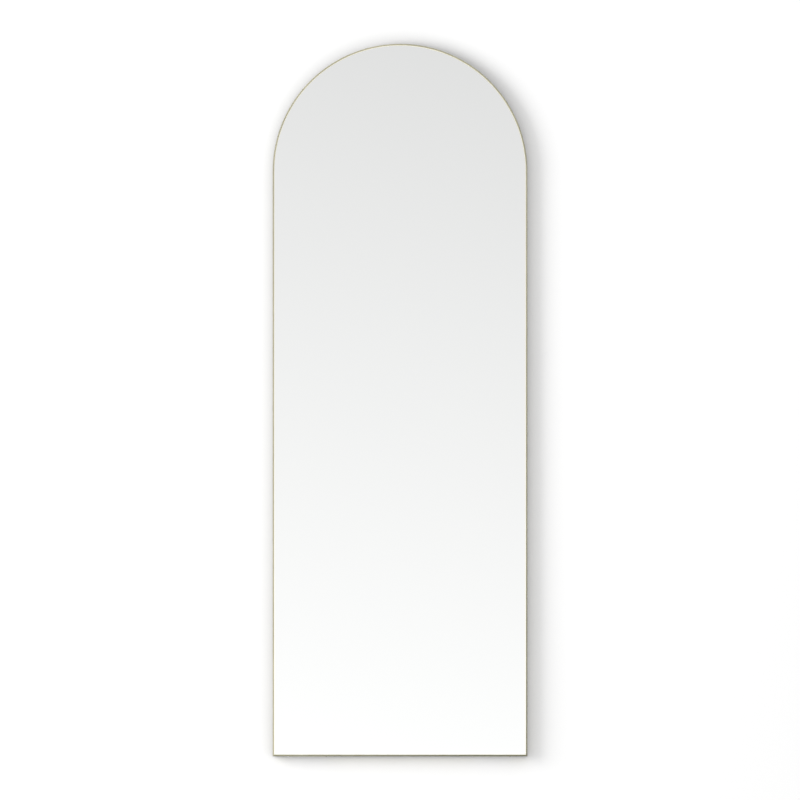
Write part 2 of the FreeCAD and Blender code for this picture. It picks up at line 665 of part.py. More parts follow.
def middle_line_of_ring(sketch):
    """The middle line of a hanging D ring's wire, with its straight bar in the eye at the origin."""
    corner, half = value("Sizes.ring_corner_radius"), value(RING_HALF_WIDTH)
    straight, low = half - corner, -corner - value("Sizes.ring_side_length")
    at = FreeCAD.Vector
    right_bar = line(sketch, at(0, 0, 0), at(straight, 0, 0))
    right_bend = arc(sketch, at(straight, -corner, 0), corner, 0, QUARTER_TURN)
    right_side = line(sketch, at(half, -corner, 0), at(half, low, 0))
    bow = arc(sketch, at(0, low, 0), half, HALF_TURN, FULL_TURN)
    left_side = line(sketch, at(-half, low, 0), at(-half, -corner, 0))
    left_bend = arc(sketch, at(-straight, -corner, 0), corner, QUARTER_TURN, HALF_TURN)
    left_bar = line(sketch, at(-straight, 0, 0), at(0, 0, 0))
    relate(sketch, "Coincident", right_bar, 1, -1, 1)
    relate(sketch, "Coincident", left_bar, 2, -1, 1)
    relate(sketch, "Horizontal", right_bar)
    relate(sketch, "Horizontal", left_bar)
    relate(sketch, "Vertical", right_side)
    relate(sketch, "Vertical", left_side)
    relate(sketch, "Tangent", right_bar, 2, right_bend, 2)
    relate(sketch, "Tangent", right_bend, 1, right_side, 1)
    relate(sketch, "Tangent", right_side, 2, bow, 2)
    relate(sketch, "Tangent", bow, 1, left_side, 1)
    relate(sketch, "Tangent", left_side, 2, left_bend, 2)
    relate(sketch, "Tangent", left_bend, 1, left_bar, 1)
    relate(sketch, "PointOnObject", bow, 3, -2)
    measure(sketch, "Radius", bow, size=RING_HALF_WIDTH, name="bow_radius")
    measure(sketch, "Radius", right_bend, size="Sizes.ring_corner_radius", name="right_bend_radius")
    measure(sketch, "Radius", left_bend, size="Sizes.ring_corner_radius", name="left_bend_radius")
    measure(sketch, "DistanceY", bow, 3, name="bow_middle",
            size="-(Sizes.ring_corner_radius + Sizes.ring_side_length)")


def hanger_ring(name):
    body = new_body(f"{name}_hanger_ring")
    path = new_sketch(body, "XZ_Plane", "middle_line")
    middle_line_of_ring(path)
    wire = new_sketch(body, "YZ_Plane", "wire")
    circle(wire, "0", "0", "Sizes.ring_wire_diameter", "wire")
    DOC.recompute()
    sweep = body.newObject("PartDesign::AdditivePipe", "Sweep")
    sweep.Profile = wire
    sweep.Spine = path
    DOC.recompute()
    x, z = HANGERS[name]
    return place(body, x, f"{BOARD_REAR} + {BARREL_RADIUS}", z)


# ----------------------------------------------------------------------------------------------
# Wall bumpers
# ----------------------------------------------------------------------------------------------
def wall_bumper(label):
    """A rubber buffer whose screw and washer sit at the bottom of a well."""
    hole = f"{SCREW_HOLE} / 2"
    well = "(Sizes.washer_diameter / 2 + Sizes.bumper_well_clearance)"
    body = new_body(label)
    profile = new_sketch(body, "XY_Plane", "profile")
    polygon(profile, [
        (hole, "0"),
        ("Sizes.bumper_base_diameter / 2", "0"),
        ("Sizes.bumper_tip_diameter / 2", BUMPER_HEIGHT),
        (well, BUMPER_HEIGHT),
        (well, "Sizes.bumper_floor"),
        (hole, "Sizes.bumper_floor"),
    ])
    revolve(body, profile)
    tip, width = value(BUMPER_HEIGHT), value("Sizes.bumper_tip_diameter")
    dress(body, "PartDesign::Fillet",
          lambda edge: flat_at(edge, "Y", tip) and abs(edge.BoundBox.XLength - width) < SAME,
          Radius="Sizes.bumper_tip_round")
    x, z = BUMPERS[label]
    return place(body, x, BOARD_REAR, z)


def washer_template():
    hole = f"{SCREW_HOLE} / 2"
    rim = "Sizes.washer_diameter / 2"
    top = "Sizes.washer_thickness"
    body = new_body("washer")
    profile = new_sketch(body, "XY_Plane", "profile")
    polygon(profile, [(hole, "0"), (rim, "0"), (rim, top), (hole, top)])
    revolve(body, profile)
    return body


def bumper_washers():
    seat = f"{BOARD_REAR} + Sizes.bumper_floor"
    return repeat("bumper_washers", washer_template(), [(x, seat, z, 0) for x, z in BUMPERS.values()])


# ----------------------------------------------------------------------------------------------
# The whole mirror
# ----------------------------------------------------------------------------------------------
def build_frame():
    lug = lug_template()
    parts = [frame_arch_band(), frame_sill()]
    parts += [corner_gusset(side) for side in SIDES]
    parts += [lugs(label, lug) for label in LUG_ROWS]
    return parts


def build_panels():
    parts = [mirror_glass(), safety_film(), bonding_tape(), backing_board()]
    parts += [setting_pad(side) for side in SIDES]
    parts += [floor_pad(side) for side in SIDES]
    return parts


def build_fittings():
    lug_screw = screw_template("lug_screw", "Sizes.lug_thickness")
    parts = [screws("board_screws", lug_screw, board_screw_places(), "Sizes.lug_thickness")]
    strap_screw = screw_template("strap_screw", "Sizes.strap_thickness")
    for name in HANGERS:
        parts += [hanger_strap(name), hanger_ring(name)]
        parts.append(screws(f"{name}_hanger_screws", strap_screw, hanger_screw_places(name),
                            "Sizes.strap_thickness"))
    under_head = "(Sizes.bumper_floor + Sizes.washer_thickness)"
    parts += [wall_bumper(label) for label in BUMPERS]
    parts.append(bumper_washers())
    parts.append(screws("bumper_screws", screw_template("bumper_screw", under_head),
                        list(BUMPERS.values()), under_head))
    return parts


def check(parts):
    """Stops the build if anything in the document has failed."""
    failed = [thing.Label for thing in DOC.Objects if {"Invalid", "Error"} & set(thing.State)]
    failed += [part.Label for part in parts if part.Shape.isNull() or not part.Shape.isValid()]
    if failed:
        raise RuntimeError(f"failed: {', '.join(failed)}")


def export(parts):
    os.makedirs("parts", exist_ok=True)
    for part in parts:
        part.Shape.exportStep(f"parts/{part.Label}.step")
        extent = part.Shape.BoundBox
        print(f"{part.Label:24} {len(part.Shape.Solids):3} solids {part.Shape.Volume:12.1f} mm3"
              f"  x {extent.XMin:8.2f} {extent.XMax:8.2f}  y {extent.YMin:7.2f} {extent.YMax:7.2f}"
              f"  z {extent.ZMin:8.2f} {extent.ZMax:8.2f}")


fill_spreadsheet()
PARTS = build_frame() + build_panels() + build_fittings()
DOC.recompute()
check(PARTS)
export(PARTS)
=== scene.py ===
# %% [markdown]
# # An arched floor mirror, finished and photographed
#
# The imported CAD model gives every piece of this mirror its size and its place. Here each piece that
# shows gets the finish of the real one: a slim bar of satin brass, silvered glass with a ground
# arris, and behind them the fibreboard, the hanging hardware, the rubber and the welds.
#
# All lengths are in metres. +Z is up, the glass looks along -Y, and the origin is on the floor.

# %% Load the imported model
import json
import math

import bmesh
import bpy
import numpy as np
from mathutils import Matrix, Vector


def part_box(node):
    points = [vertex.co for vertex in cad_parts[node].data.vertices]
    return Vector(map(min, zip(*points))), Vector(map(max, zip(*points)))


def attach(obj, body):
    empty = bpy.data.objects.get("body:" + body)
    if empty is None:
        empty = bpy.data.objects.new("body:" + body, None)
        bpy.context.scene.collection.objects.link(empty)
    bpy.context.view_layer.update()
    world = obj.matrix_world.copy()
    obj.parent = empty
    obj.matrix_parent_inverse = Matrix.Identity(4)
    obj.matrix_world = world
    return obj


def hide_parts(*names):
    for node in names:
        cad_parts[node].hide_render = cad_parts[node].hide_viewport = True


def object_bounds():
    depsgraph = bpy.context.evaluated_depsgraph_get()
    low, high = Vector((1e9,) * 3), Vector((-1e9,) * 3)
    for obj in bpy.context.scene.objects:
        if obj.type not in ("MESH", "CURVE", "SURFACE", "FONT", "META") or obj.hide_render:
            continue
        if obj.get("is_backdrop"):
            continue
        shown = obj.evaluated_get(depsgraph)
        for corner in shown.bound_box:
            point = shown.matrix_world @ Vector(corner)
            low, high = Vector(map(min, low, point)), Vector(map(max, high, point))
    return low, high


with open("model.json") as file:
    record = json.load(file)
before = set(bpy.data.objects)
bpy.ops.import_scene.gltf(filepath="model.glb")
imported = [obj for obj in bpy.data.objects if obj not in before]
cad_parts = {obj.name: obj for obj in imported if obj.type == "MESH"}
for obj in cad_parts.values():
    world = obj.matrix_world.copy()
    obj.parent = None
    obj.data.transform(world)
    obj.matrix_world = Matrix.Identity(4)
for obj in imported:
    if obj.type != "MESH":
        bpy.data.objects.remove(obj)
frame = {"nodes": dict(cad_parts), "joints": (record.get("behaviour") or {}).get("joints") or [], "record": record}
cad_low, cad_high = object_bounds()
print("CAD box", [round(v, 4) for v in cad_low], [round(v, 4) for v in cad_high])

# %% [markdown]
# ## Sizes that the pieces share
#
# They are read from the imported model, so a change to the CAD moves the pieces made here with it.
# The bar is 3.2 mm flat stock set on edge, and its middle line is what a bender would work from.

# %% Shared sizes
MM = 0.001
WIDTH, _, HEIGHT = frame["record"]["size"]["bbox_m"]
HALF_WIDTH = WIDTH / 2
SILL_LOW, SILL_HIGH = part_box("frame_sill")
BAR_THICK = SILL_HIGH.z - SILL_LOW.z
BAR_DEEP = SILL_HIGH.y - SILL_LOW.y
BAR_FRONT = SILL_LOW.y
BAR_REAR = SILL_HIGH.y
MID_LINE = HALF_WIDTH - BAR_THICK / 2
ARCH_Z = HEIGHT - HALF_WIDTH
INNER = HALF_WIDTH - BAR_THICK
print(f"bar {BAR_THICK / MM:.1f} x {BAR_DEEP / MM:.1f} mm, arch centred {ARCH_Z:.4f} m up")

# %% [markdown]
# ## Writing node trees as sums
#
# A node tree is easier to read as a formula than as a list of links. `Wire` stands for one output
# of a node, and arithmetic on it adds Math nodes. `Tree.add` makes any other node: its settings
# come first, because they decide which sockets it has, and then its sockets get values or links.

# %% Wire and Tree
class Wire:
    """One output of a node. Sums written with it add Math nodes to its tree."""

    def __init__(self, tree, socket):
        self.tree = tree
        self.socket = socket

    def other(self, name):
        """Another output of the same node."""
        return Wire(self.tree, self.socket.node.outputs[name])

    def __add__(self, value):
        return self.tree.math("ADD", self, value)

    def __sub__(self, value):
        return self.tree.math("SUBTRACT", self, value)

    def __rsub__(self, value):
        return self.tree.math("SUBTRACT", value, self)

    def __mul__(self, value):
        return self.tree.math("MULTIPLY", self, value)

    def __truediv__(self, value):
        return self.tree.math("DIVIDE", self, value)

    def __pow__(self, value):
        return self.tree.math("POWER", self, value)

    def __lt__(self, value):
        return self.tree.math("LESS_THAN", self, value)

    def __gt__(self, value):
        return self.tree.math("GREATER_THAN", self, value)

    def __abs__(self):
        return self.tree.math("ABSOLUTE", self)

    __radd__ = __add__
    __rmul__ = __mul__


class Tree:
    """A shader or geometry tree that is being written."""

    def __init__(self, node_tree):
        self.node_tree = node_tree

    def add(self, kind, settings=None, sockets=None, out=0):
        """A node of this kind. Gives back the output that is asked for, by name or number."""
        node = self.node_tree.nodes.new(kind)
        for name, value in (settings or {}).items():
            setattr(node, name, value)
        for name, value in (sockets or {}).items():
            self.feed(node.inputs[name], value)
        return Wire(self, node.outputs[out]) if len(node.outputs) else node

    def feed(self, socket, value):
        if isinstance(value, Wire):
            self.node_tree.links.new(value.socket, socket)
        else:
            socket.default_value = value

    def math(self, operation, *values):
        return self.add("ShaderNodeMath", {"operation": operation}, dict(enumerate(values)))

    def vector(self, x, y, z):
        return self.add("ShaderNodeCombineXYZ", None, {0: x, 1: y, 2: z})

    def split(self, wire):
        xyz = self.add("ShaderNodeSeparateXYZ", None, {0: wire})
        return xyz, xyz.other("Y"), xyz.other("Z")

    def stretch(self, wire, x, y, z):
        """A vector times a size along each axis."""
        return self.add("ShaderNodeVectorMath", {"operation": "MULTIPLY"}, {0: wire, 1: (x, y, z)})

    def noise(self, at, scale=1.0, detail=2.0, rough=0.5, twist=0.0):
        return self.add("ShaderNodeTexNoise", None, {"Vector": at, "Scale": scale, "Detail": detail,
                                                     "Roughness": rough, "Distortion": twist})

    def spread(self, wire, from_low, from_high, low, high):
        """Maps one range to another, and holds the ends."""
        return self.add("ShaderNodeMapRange", None, {0: wire, 1: from_low, 2: from_high, 3: low, 4: high})

    def mix(self, share, first, second):
        """A blend of two colours: the first at a share of 0, the second at 1."""
        return self.add("ShaderNodeMix", {"data_type": "RGBA"}, {0: share, 6: first, 7: second}, out=2)

    def bump(self, height, distance):
        return self.add("ShaderNodeBump", None, {"Height": height, "Distance": distance, "Strength": 1.0})


def colour(red, green, blue):
    return (red, green, blue, 1.0)

# %% [markdown]
# ## The camera
#
# The photograph is square on, with no perspective that can be measured: the two sides are parallel
# and the arch is a true half circle. So the camera is orthographic, level, and as wide as 800 steps
# of 2.395 mm, the size of one picture element on the mirror.

# %% Camera
def placed(name, data):
    """A new object with this data, in the scene."""
    thing = bpy.data.objects.new(name, data)
    bpy.context.scene.collection.objects.link(thing)
    return thing


STEP = 2.395 * MM
PICTURE_STEPS = 800
CAMERA_AWAY = 4.5
camera_data = bpy.data.cameras.new("camera")
camera_data.type = "ORTHO"
camera_data.ortho_scale = PICTURE_STEPS * STEP
camera_data.clip_end = 50.0
camera = placed("camera", camera_data)
camera.location = (0.0, -CAMERA_AWAY, (HEIGHT + SILL_LOW.z) / 2 + 0.1 * STEP)
camera.rotation_euler = (math.radians(90), 0.0, 0.0)
bpy.context.scene.camera = camera
bpy.context.scene.view_settings.view_transform = "Standard"
print(f"camera sees {camera_data.ortho_scale:.4f} m")

# %% [markdown]
# ## The studio
#
# The mirror stands on a pale floor with its bumpers just touching a white wall. A wall-to-wall
# white that still holds a soft shadow needs a wall that is a little brighter than white: the wall
# adds a glow of its own that only the camera sees, so no extra light falls on the mirror. The wall
# shows from the front only, so that the back of the mirror can be photographed too. The floor
# glows a little as well, and in reflections it gets darker with distance.
#
# Since the wall stops no light, the back of the mirror is as bright as its face, and would throw
# brown light on the wall where the real one has its darkest shadow. A dark sheet with the outline
# of the frame hangs behind it. It stops only what leaves the mirror's back for the wall, and
# nothing that comes from behind.
#
# What a mirror shows is what stands in front of it. In the photograph that is an empty white room,
# a little darker higher up, so a tall card with that slow change of tone stands out in front. Its
# right wing, past the mirror's edge, is dark: it gives the right jamb its deeper brass. Only
# reflections see the card.

# %% Plain sheets for the studio
def sheet_of(name, corners, material):
    mesh = bpy.data.meshes.new(name)
    mesh.from_pydata(corners, [], [tuple(range(len(corners)))])
    mesh.materials.append(material)
    thing = placed(name, mesh)
    thing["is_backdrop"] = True
    return thing


def upright(half, y, low, high):
    """Corners of an upright sheet at this depth, from low to high."""
    return [(-half, y, low), (half, y, low), (half, y, high), (-half, y, high)]


def studio_material(name):
    material = bpy.data.materials.new(name)
    material.use_nodes = True
    material.node_tree.nodes.remove(material.node_tree.nodes["Principled BSDF"])
    return material, Tree(material.node_tree), material.node_tree.nodes["Material Output"]


def glow(tree, strength, tint=colour(1, 1, 1)):
    return tree.add("ShaderNodeEmission", None, {"Color": tint, "Strength": strength})


def blend_shaders(tree, share, first, second):
    return tree.add("ShaderNodeMixShader", None, {0: share, 1: first, 2: second})


def add_shaders(tree, first, second):
    return tree.add("ShaderNodeAddShader", None, {0: first, 1: second})


def lit_paint(tree, tone, extra):
    """White paint of this tone, with a little glow of its own."""
    paint = tree.add("ShaderNodeBsdfDiffuse", None, {"Color": colour(tone, tone, tone)})
    return add_shaders(tree, paint, glow(tree, extra))


def seen_only_by(thing, *rays):
    for ray in ("camera", "diffuse", "glossy", "transmission", "volume_scatter", "shadow"):
        setattr(thing, f"visible_{ray}", ray in rays)
    print(thing.name, "is seen by", ", ".join(rays), "rays only")


ROOM_HALF = 6.0

# %% Wall
WALL_Y = cad_high.y
WALL_TONE = 0.96
WALL_GLOW = 0.045
wall_material, tree, output = studio_material("wall_white")
behind = tree.add("ShaderNodeNewGeometry", out="Backfacing")
clear = tree.add("ShaderNodeBsdfTransparent")
lit = lit_paint(tree, WALL_TONE, WALL_GLOW)
tree.feed(output.inputs["Surface"], blend_shaders(tree, behind, lit, clear))
wall = sheet_of("wall", upright(ROOM_HALF, WALL_Y, -ROOM_HALF, ROOM_HALF), wall_material)
seen_only_by(wall, "camera")

# %% Floor
FLOOR_TONE = 0.96
FLOOR_GLOW = 0.10
FLOOR_NEAR = 0.98
FLOOR_FAR = 0.72
floor_material, tree, output = studio_material("floor_white")
lit = lit_paint(tree, FLOOR_TONE, FLOOR_GLOW)
spot = tree.add("ShaderNodeTexCoord", out="Object")
away = tree.add("ShaderNodeVectorMath", {"operation": "LENGTH"}, {0: spot}, out="Value")
mirrored = glow(tree, tree.spread(away, 0.2, 5.0, FLOOR_NEAR, FLOOR_FAR))
rays = tree.add("ShaderNodeLightPath")
tree.feed(output.inputs["Surface"], blend_shaders(tree, rays.other("Is Glossy Ray"), lit, mirrored))
floor = sheet_of("floor", [(-ROOM_HALF, -ROOM_HALF, 0), (ROOM_HALF, -ROOM_HALF, 0),
                           (ROOM_HALF, ROOM_HALF, 0), (-ROOM_HALF, ROOM_HALF, 0)], floor_material)
seen_only_by(floor, "camera", "glossy", "transmission")

# %% Dark sheet behind the mirror
SHEET_Y = BAR_REAR + 0.4 * MM
BOW_STEP = 3
dark_material, tree, output = studio_material("rear_dark")
from_wall = tree.add("ShaderNodeNewGeometry", out="Backfacing")
clear = tree.add("ShaderNodeBsdfTransparent")
tree.feed(output.inputs["Surface"], blend_shaders(tree, from_wall, clear, glow(tree, 0.0)))
bow = [math.radians(angle) for angle in range(0, 181, BOW_STEP)]
outline = [(-HALF_WIDTH, SHEET_Y, 0.0), (HALF_WIDTH, SHEET_Y, 0.0)]
outline += [(HALF_WIDTH * math.cos(a), SHEET_Y, ARCH_Z + HALF_WIDTH * math.sin(a)) for a in bow]
dark_sheet = sheet_of("dark_sheet", outline, dark_material)
seen_only_by(dark_sheet, "diffuse")

# %% Card in front of the glass
CARD_LOW = 0.087
CARD_HIGH = 1.645
GLASS_TONE = 0.93
TONE_LOW = 0.996 / GLASS_TONE
TONE_HIGH = 0.761 / GLASS_TONE
CARD_TILT = 0.16
CARD_Y = -3.6
CARD_HALF = 1.6
CARD_FOOT = -0.4
CARD_TOP = 2.6
RUN_ON = 0.3
WING_FADE = 0.12
WING_TONE = 0.25
card_material, tree, output = studio_material("card_tone")
across, _, up = tree.split(tree.add("ShaderNodeTexCoord", out="Object"))
rise = (up - CARD_LOW) / (CARD_HIGH - CARD_LOW) + across * CARD_TILT
fall = TONE_LOW - TONE_HIGH
tone = tree.spread(rise, -RUN_ON, 1 + RUN_ON, TONE_LOW + RUN_ON * fall, TONE_HIGH - RUN_ON * fall)
wing = tree.spread(up, 0.0, 1.0, 0.0, WING_TONE)
shade = tree.spread(across, HALF_WIDTH, HALF_WIDTH + WING_FADE, 1.0, wing)
tree.feed(output.inputs["Surface"], glow(tree, tone * shade))
card_material.cycles.emission_sampling = "NONE"
card = sheet_of("card", upright(CARD_HALF, CARD_Y, CARD_FOOT, CARD_TOP), card_material)
seen_only_by(card, "glossy")

# %% [markdown]
# ## Light
#
# The shadow in the photograph falls to the right and down, and fades out over a hand's breadth: a
# large soft lamp in front on the left, and much light from all round. A weaker lamp behind the
# wall is for pictures of the mirror's back. The room light is the world, the same in every
# direction. Reflections see the room brighter towards the lamp, which is what gives metal its
# shape. What the brass throws back on the wall is damped, because the photograph has no
# brass-coloured light beside the frame.

# %% World
ROOM_LIGHT = 0.80
ROOM_DARK = 0.38
LOST_IN_BOUNCE = 0.85
world = bpy.data.worlds.new("room")
bpy.context.scene.world = world
world.use_nodes = True
tree = Tree(world.node_tree)
rays = tree.add("ShaderNodeLightPath")
right, back, up = tree.split(tree.add("ShaderNodeTexCoord", out="Generated"))
room_tone = tree.spread(right * -0.55 + up * 0.5 + back * -0.15, -0.8, 0.8, ROOM_DARK, 1.0)
glossy = rays.other("Is Glossy Ray")
direct = tree.math("MAXIMUM", rays.other("Is Camera Ray"), rays.other("Is Transmission Ray"))
bounced = tree.math("MINIMUM", rays.other("Diffuse Depth"), 1.0)
metal = glossy * room_tone * (1 - bounced * LOST_IN_BOUNCE)
other = (1 - direct) * (1 - glossy) * ROOM_LIGHT
tree.feed(world.node_tree.nodes["Background"].inputs["Strength"], direct + metal + other)
tree.feed(world.node_tree.nodes["Background"].inputs["Color"], colour(1, 1, 1))
world.cycles.sampling_method = "NONE"
print(f"room light {ROOM_LIGHT}, reflections of the room {ROOM_DARK} to 1.0")

# %% Lamps
def lamp(name, spot, aim, watts, size):
    data = bpy.data.lights.new(name, "AREA")
    data.shape = "DISK"
    data.size = size
    data.energy = watts
    thing = placed(name, data)
    thing.location = spot
    thing.rotation_euler = (Vector(aim) - Vector(spot)).to_track_quat("-Z", "Y").to_euler()
    thing.visible_glossy = False
    print(f"{name}: {watts:.0f} W, {size} m across, {(Vector(spot) - Vector(aim)).length:.1f} m away")


LAMP_AIM = (0, 0, 0.9)
lamp("key_lamp", (-5.5, -3.25, 1.8), LAMP_AIM, 255.0, 4.5)
lamp("back_lamp", (2.4, 3.2, 2.8), LAMP_AIM, 40.0, 2.0)

# %% [markdown]
# ## Satin brass
#
# The bar is steel, brushed along its length and plated with pale brass. Brushing leaves very fine
# lines that run with the bar, so the pattern has to turn with it round the arch. Object coordinates
# are bent to suit: `run` is the distance along the bar, and `across` the distance from the arch's
# centre, or from the middle of the mirror beside the jambs. Noise that is stretched more than a
# hundred times along the run then gives the lines. The left jamb, the right jamb and the sill each
# read their own patch of the noise, metres from the next, so that no two have the same lines.
# Plating is never quite even either, so a slow cloud moves the tone between a lighter and a deeper
# brass. Where two bars meet, the welded and ground mitre leaves a hairline.
#
# In the photograph the line isn't the same brass all round. It gets darker down the right jamb, and
# the sill is the darkest part, most of all its right half. That darkening is painted shade here: the
# front edge mixes towards a dark brass, and each bar says how far, from place to place.
#
# `Finish` is what all finishes share: a material with one Principled shader, whose sockets get
# their constants first and their patterns at the end.

# %% What all finishes share
class Finish:
    """A material with one Principled shader, and the place on the piece that its pattern reads."""

    def __init__(self, name, **constants):
        self.material = bpy.data.materials.new(name)
        self.material.use_nodes = True
        self.tree = Tree(self.material.node_tree)
        self.shader = self.material.node_tree.nodes["Principled BSDF"]
        self.at = self.tree.add("ShaderNodeTexCoord", out="Object")
        for socket, value in constants.items():
            self.shader.inputs[socket.replace("_", " ")].default_value = value

    def set(self, **wires):
        for socket, wire in wires.items():
            self.tree.feed(self.shader.inputs[socket.replace("_", " ")], wire)
        return self

# %% Brass
BRASS_LIGHT = colour(0.69, 0.655, 0.485)
BRASS_DEEP = colour(0.585, 0.555, 0.40)
# The next colour is painted shade for the front edge of the sill and the lower right jamb.
BRASS_PAINTED_SHADE = colour(0.24, 0.24, 0.175)
MITRE_SUM = HALF_WIDTH + SILL_LOW.z
MITRE_LINE = 0.16 * MM
RIGHT_PATCH = 7.0
SILL_PATCH = 20.0
# The painted shade on the right jamb fades out by this height.
PAINTED_SHADE_TOP = 1.3
EDGE_DEEP = 3 * MM
EDGE_FADED = 7 * MM


def along_the_arch(tree, x, z):
    """Run and across for a bar that goes up a jamb and round the arch."""
    above = tree.math("MAXIMUM", z - ARCH_Z, 0.0)
    lean = tree.math("ARCTAN2", abs(x), above)
    run = tree.math("MINIMUM", z, ARCH_Z) + (math.pi / 2 - lean) * MID_LINE
    return run + (x > 0) * RIGHT_PATCH, (x * x + above * above) ** 0.5


def along_the_sill(tree, x, z):
    return x + SILL_PATCH, z


def painted_shade_on_arch(tree, x, z):
    """How much painted shade the front edge of the jambs and the arch gets: low on the right jamb only."""
    return (x > 0) * 0.8 * tree.spread(z, 0.0, PAINTED_SHADE_TOP, 1.0, 0.0) ** 1.5


def painted_shade_on_sill(tree, x, z):
    """How much painted shade the sill's front edge gets: all along, and most on its right half."""
    return tree.spread(x, -0.25, 0.15, 0.6, 0.9)


def satin_brass(name, course, painted_shade_share):
    finish = Finish(name, Metallic=1.0)
    tree = finish.tree
    x, y, z = tree.split(finish.at)
    run, across = course(tree, x, z)
    bar = tree.vector(run, across, y)
    lines = tree.noise(tree.stretch(bar, 25, 3600, 3600), detail=3, rough=0.6)
    drag = tree.noise(tree.stretch(bar, 6, 420, 420), detail=2)
    cloud = tree.noise(finish.at, 7.0, detail=3)
    marks = tree.noise(finish.at, 60.0, detail=4, rough=0.65)
    tone = tree.mix(tree.spread(cloud * 0.7 + drag * 0.3, 0.35, 0.65, 0.0, 1.0), BRASS_LIGHT, BRASS_DEEP)
    ragged = y + marks * EDGE_DEEP
    painted_shade_edge = tree.spread(ragged, BAR_FRONT + EDGE_DEEP, BAR_FRONT + EDGE_FADED, 1.0, 0.0)
    # Painted shade along the front edge, as much as each bar's function gives.
    tone = tree.mix(painted_shade_edge * painted_shade_share(tree, x, z), tone, BRASS_PAINTED_SHADE)
    mitre = abs(abs(x) + z - MITRE_SUM) < MITRE_LINE
    tone = tree.mix(mitre * 0.5, tone, colour(0.30, 0.24, 0.12))
    tone = tree.mix(tree.spread(lines, 0.55, 0.75, 0.0, 0.22), tone, colour(0.38, 0.34, 0.18))
    rough = tree.spread(lines, 0.3, 0.7, 0.26, 0.40) + tree.spread(marks, 0.5, 0.75, 0.0, 0.07)
    return finish.set(Base_Color=tone, Roughness=rough, Normal=tree.bump(lines, 0.012 * MM)).material


brass_round_arch = satin_brass("satin_brass_arch", along_the_arch, painted_shade_on_arch)
brass_on_sill = satin_brass("satin_brass_sill", along_the_sill, painted_shade_on_sill)
print("brass:", brass_round_arch.name, brass_on_sill.name)

# %% [markdown]
# ## Bending the bar
#
# The real frame starts as a straight flat bar. The bender rolls it over a former into the arch, and
# the foot of each jamb is cut at 45 degrees to meet the sill. The same three steps make it here, in
# a Geometry Nodes tree that sweeps a rounded section along a bent line:
#
# 1. the corners of a bare line are filleted, each by the bend radius stored on its point;
# 2. the bar's section, a rectangle with rounded edges, is swept along it;
# 3. at a mitred end, each point of the section slides along the bar as far as it lies outwards.
#
# A tree with the sizes as inputs serves the arch, the sill and the wire of the hanging rings, which
# is only a bar whose section is as round as it is thick.

# %% Geometry Nodes helpers
SOCKET_KINDS = {float: "NodeSocketFloat", int: "NodeSocketInt",
                "material": "NodeSocketMaterial", "object": "NodeSocketObject"}


def new_geometry_tree(name, **inputs):
    """An empty tree with named inputs. Gives back the tree and its inputs as wires by name."""
    group = bpy.data.node_groups.new(name, "GeometryNodeTree")
    group.interface.new_socket("Geometry", in_out="INPUT", socket_type="NodeSocketGeometry")
    group.interface.new_socket("Geometry", in_out="OUTPUT", socket_type="NodeSocketGeometry")
    for label, kind in inputs.items():
        group.interface.new_socket(label.replace("_", " "), in_out="INPUT", socket_type=SOCKET_KINDS[kind])
    tree = Tree(group)
    source = tree.add("NodeGroupInput")
    return tree, {label: source.other(label.replace("_", " ")) for label in inputs} | {"geometry": source}


def stored(tree, label, kind="FLOAT"):
    """What an attribute of this name holds."""
    return tree.add("GeometryNodeInputNamedAttribute", {"data_type": kind}, {"Name": label})


def store(tree, geometry, label, value, kind="FLOAT"):
    """The geometry, with this value kept on each point under a name."""
    return tree.add("GeometryNodeStoreNamedAttribute", {"data_type": kind, "domain": "POINT"},
                    {"Geometry": geometry, "Name": label, "Value": value})


def close_geometry_tree(tree, geometry, material):
    """Every tree ends with real geometry that has its material."""
    real = tree.add("GeometryNodeRealizeInstances", None, {"Geometry": geometry})
    dressed = tree.add("GeometryNodeSetMaterial", None, {"Geometry": real, "Material": material})
    tree.add("NodeGroupOutput", None, {0: dressed})
    print(f"{tree.node_tree.name}: {len(tree.node_tree.nodes)} nodes")


def grow(name, source, tree, **values):
    """Runs a tree on a mesh, and gives back the result as a plain mesh object of this name."""
    seed = placed("seed", source)
    modifier = seed.modifiers.new("nodes", "NODES")
    modifier.node_group = tree.node_tree
    for item in tree.node_tree.interface.items_tree:
        label = item.name.replace(" ", "_")
        if item.in_out == "INPUT" and label in values:
            modifier[item.identifier] = values[label]
    return plain(name, seed)


def plain(name, made):
    """The evaluated mesh of an object as a new plain object. The old object goes."""
    made.update_tag()
    bpy.context.view_layer.update()
    graph = bpy.context.evaluated_depsgraph_get()
    mesh = bpy.data.meshes.new_from_object(made.evaluated_get(graph), preserve_all_data_layers=True,
                                           depsgraph=graph)
    mesh.name = name
    bpy.data.objects.remove(made)
    return placed(name, mesh)


def even_shading(piece, crease=40.0):
    """Smooth shading with a crease wherever the surface turns sharply. The largest faces stay flat."""
    mesh = piece.data
    mesh.polygons.foreach_set("use_smooth", [True] * len(mesh.polygons))
    mesh.set_sharp_from_angle(angle=math.radians(crease))
    weigh = piece.modifiers.new("even", "WEIGHTED_NORMAL")
    weigh.keep_sharp = True
    weigh.weight = 100
    return plain(piece.name, piece)


def size_of(piece):
    corners = np.array([v.co for v in piece.data.vertices])
    span = (corners.max(0) - corners.min(0)) / MM
    return (f"{piece.name}: {len(piece.data.polygons)} faces, "
            f"{span[0]:.1f} x {span[1]:.1f} x {span[2]:.1f} mm")


def stands_for(piece, body, slot, *nodes):
    """The piece rides on its body and replaces its CAD nodes. Its slot is not used."""
    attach(piece, body)
    if nodes:
        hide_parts(*nodes)
    print(size_of(piece))

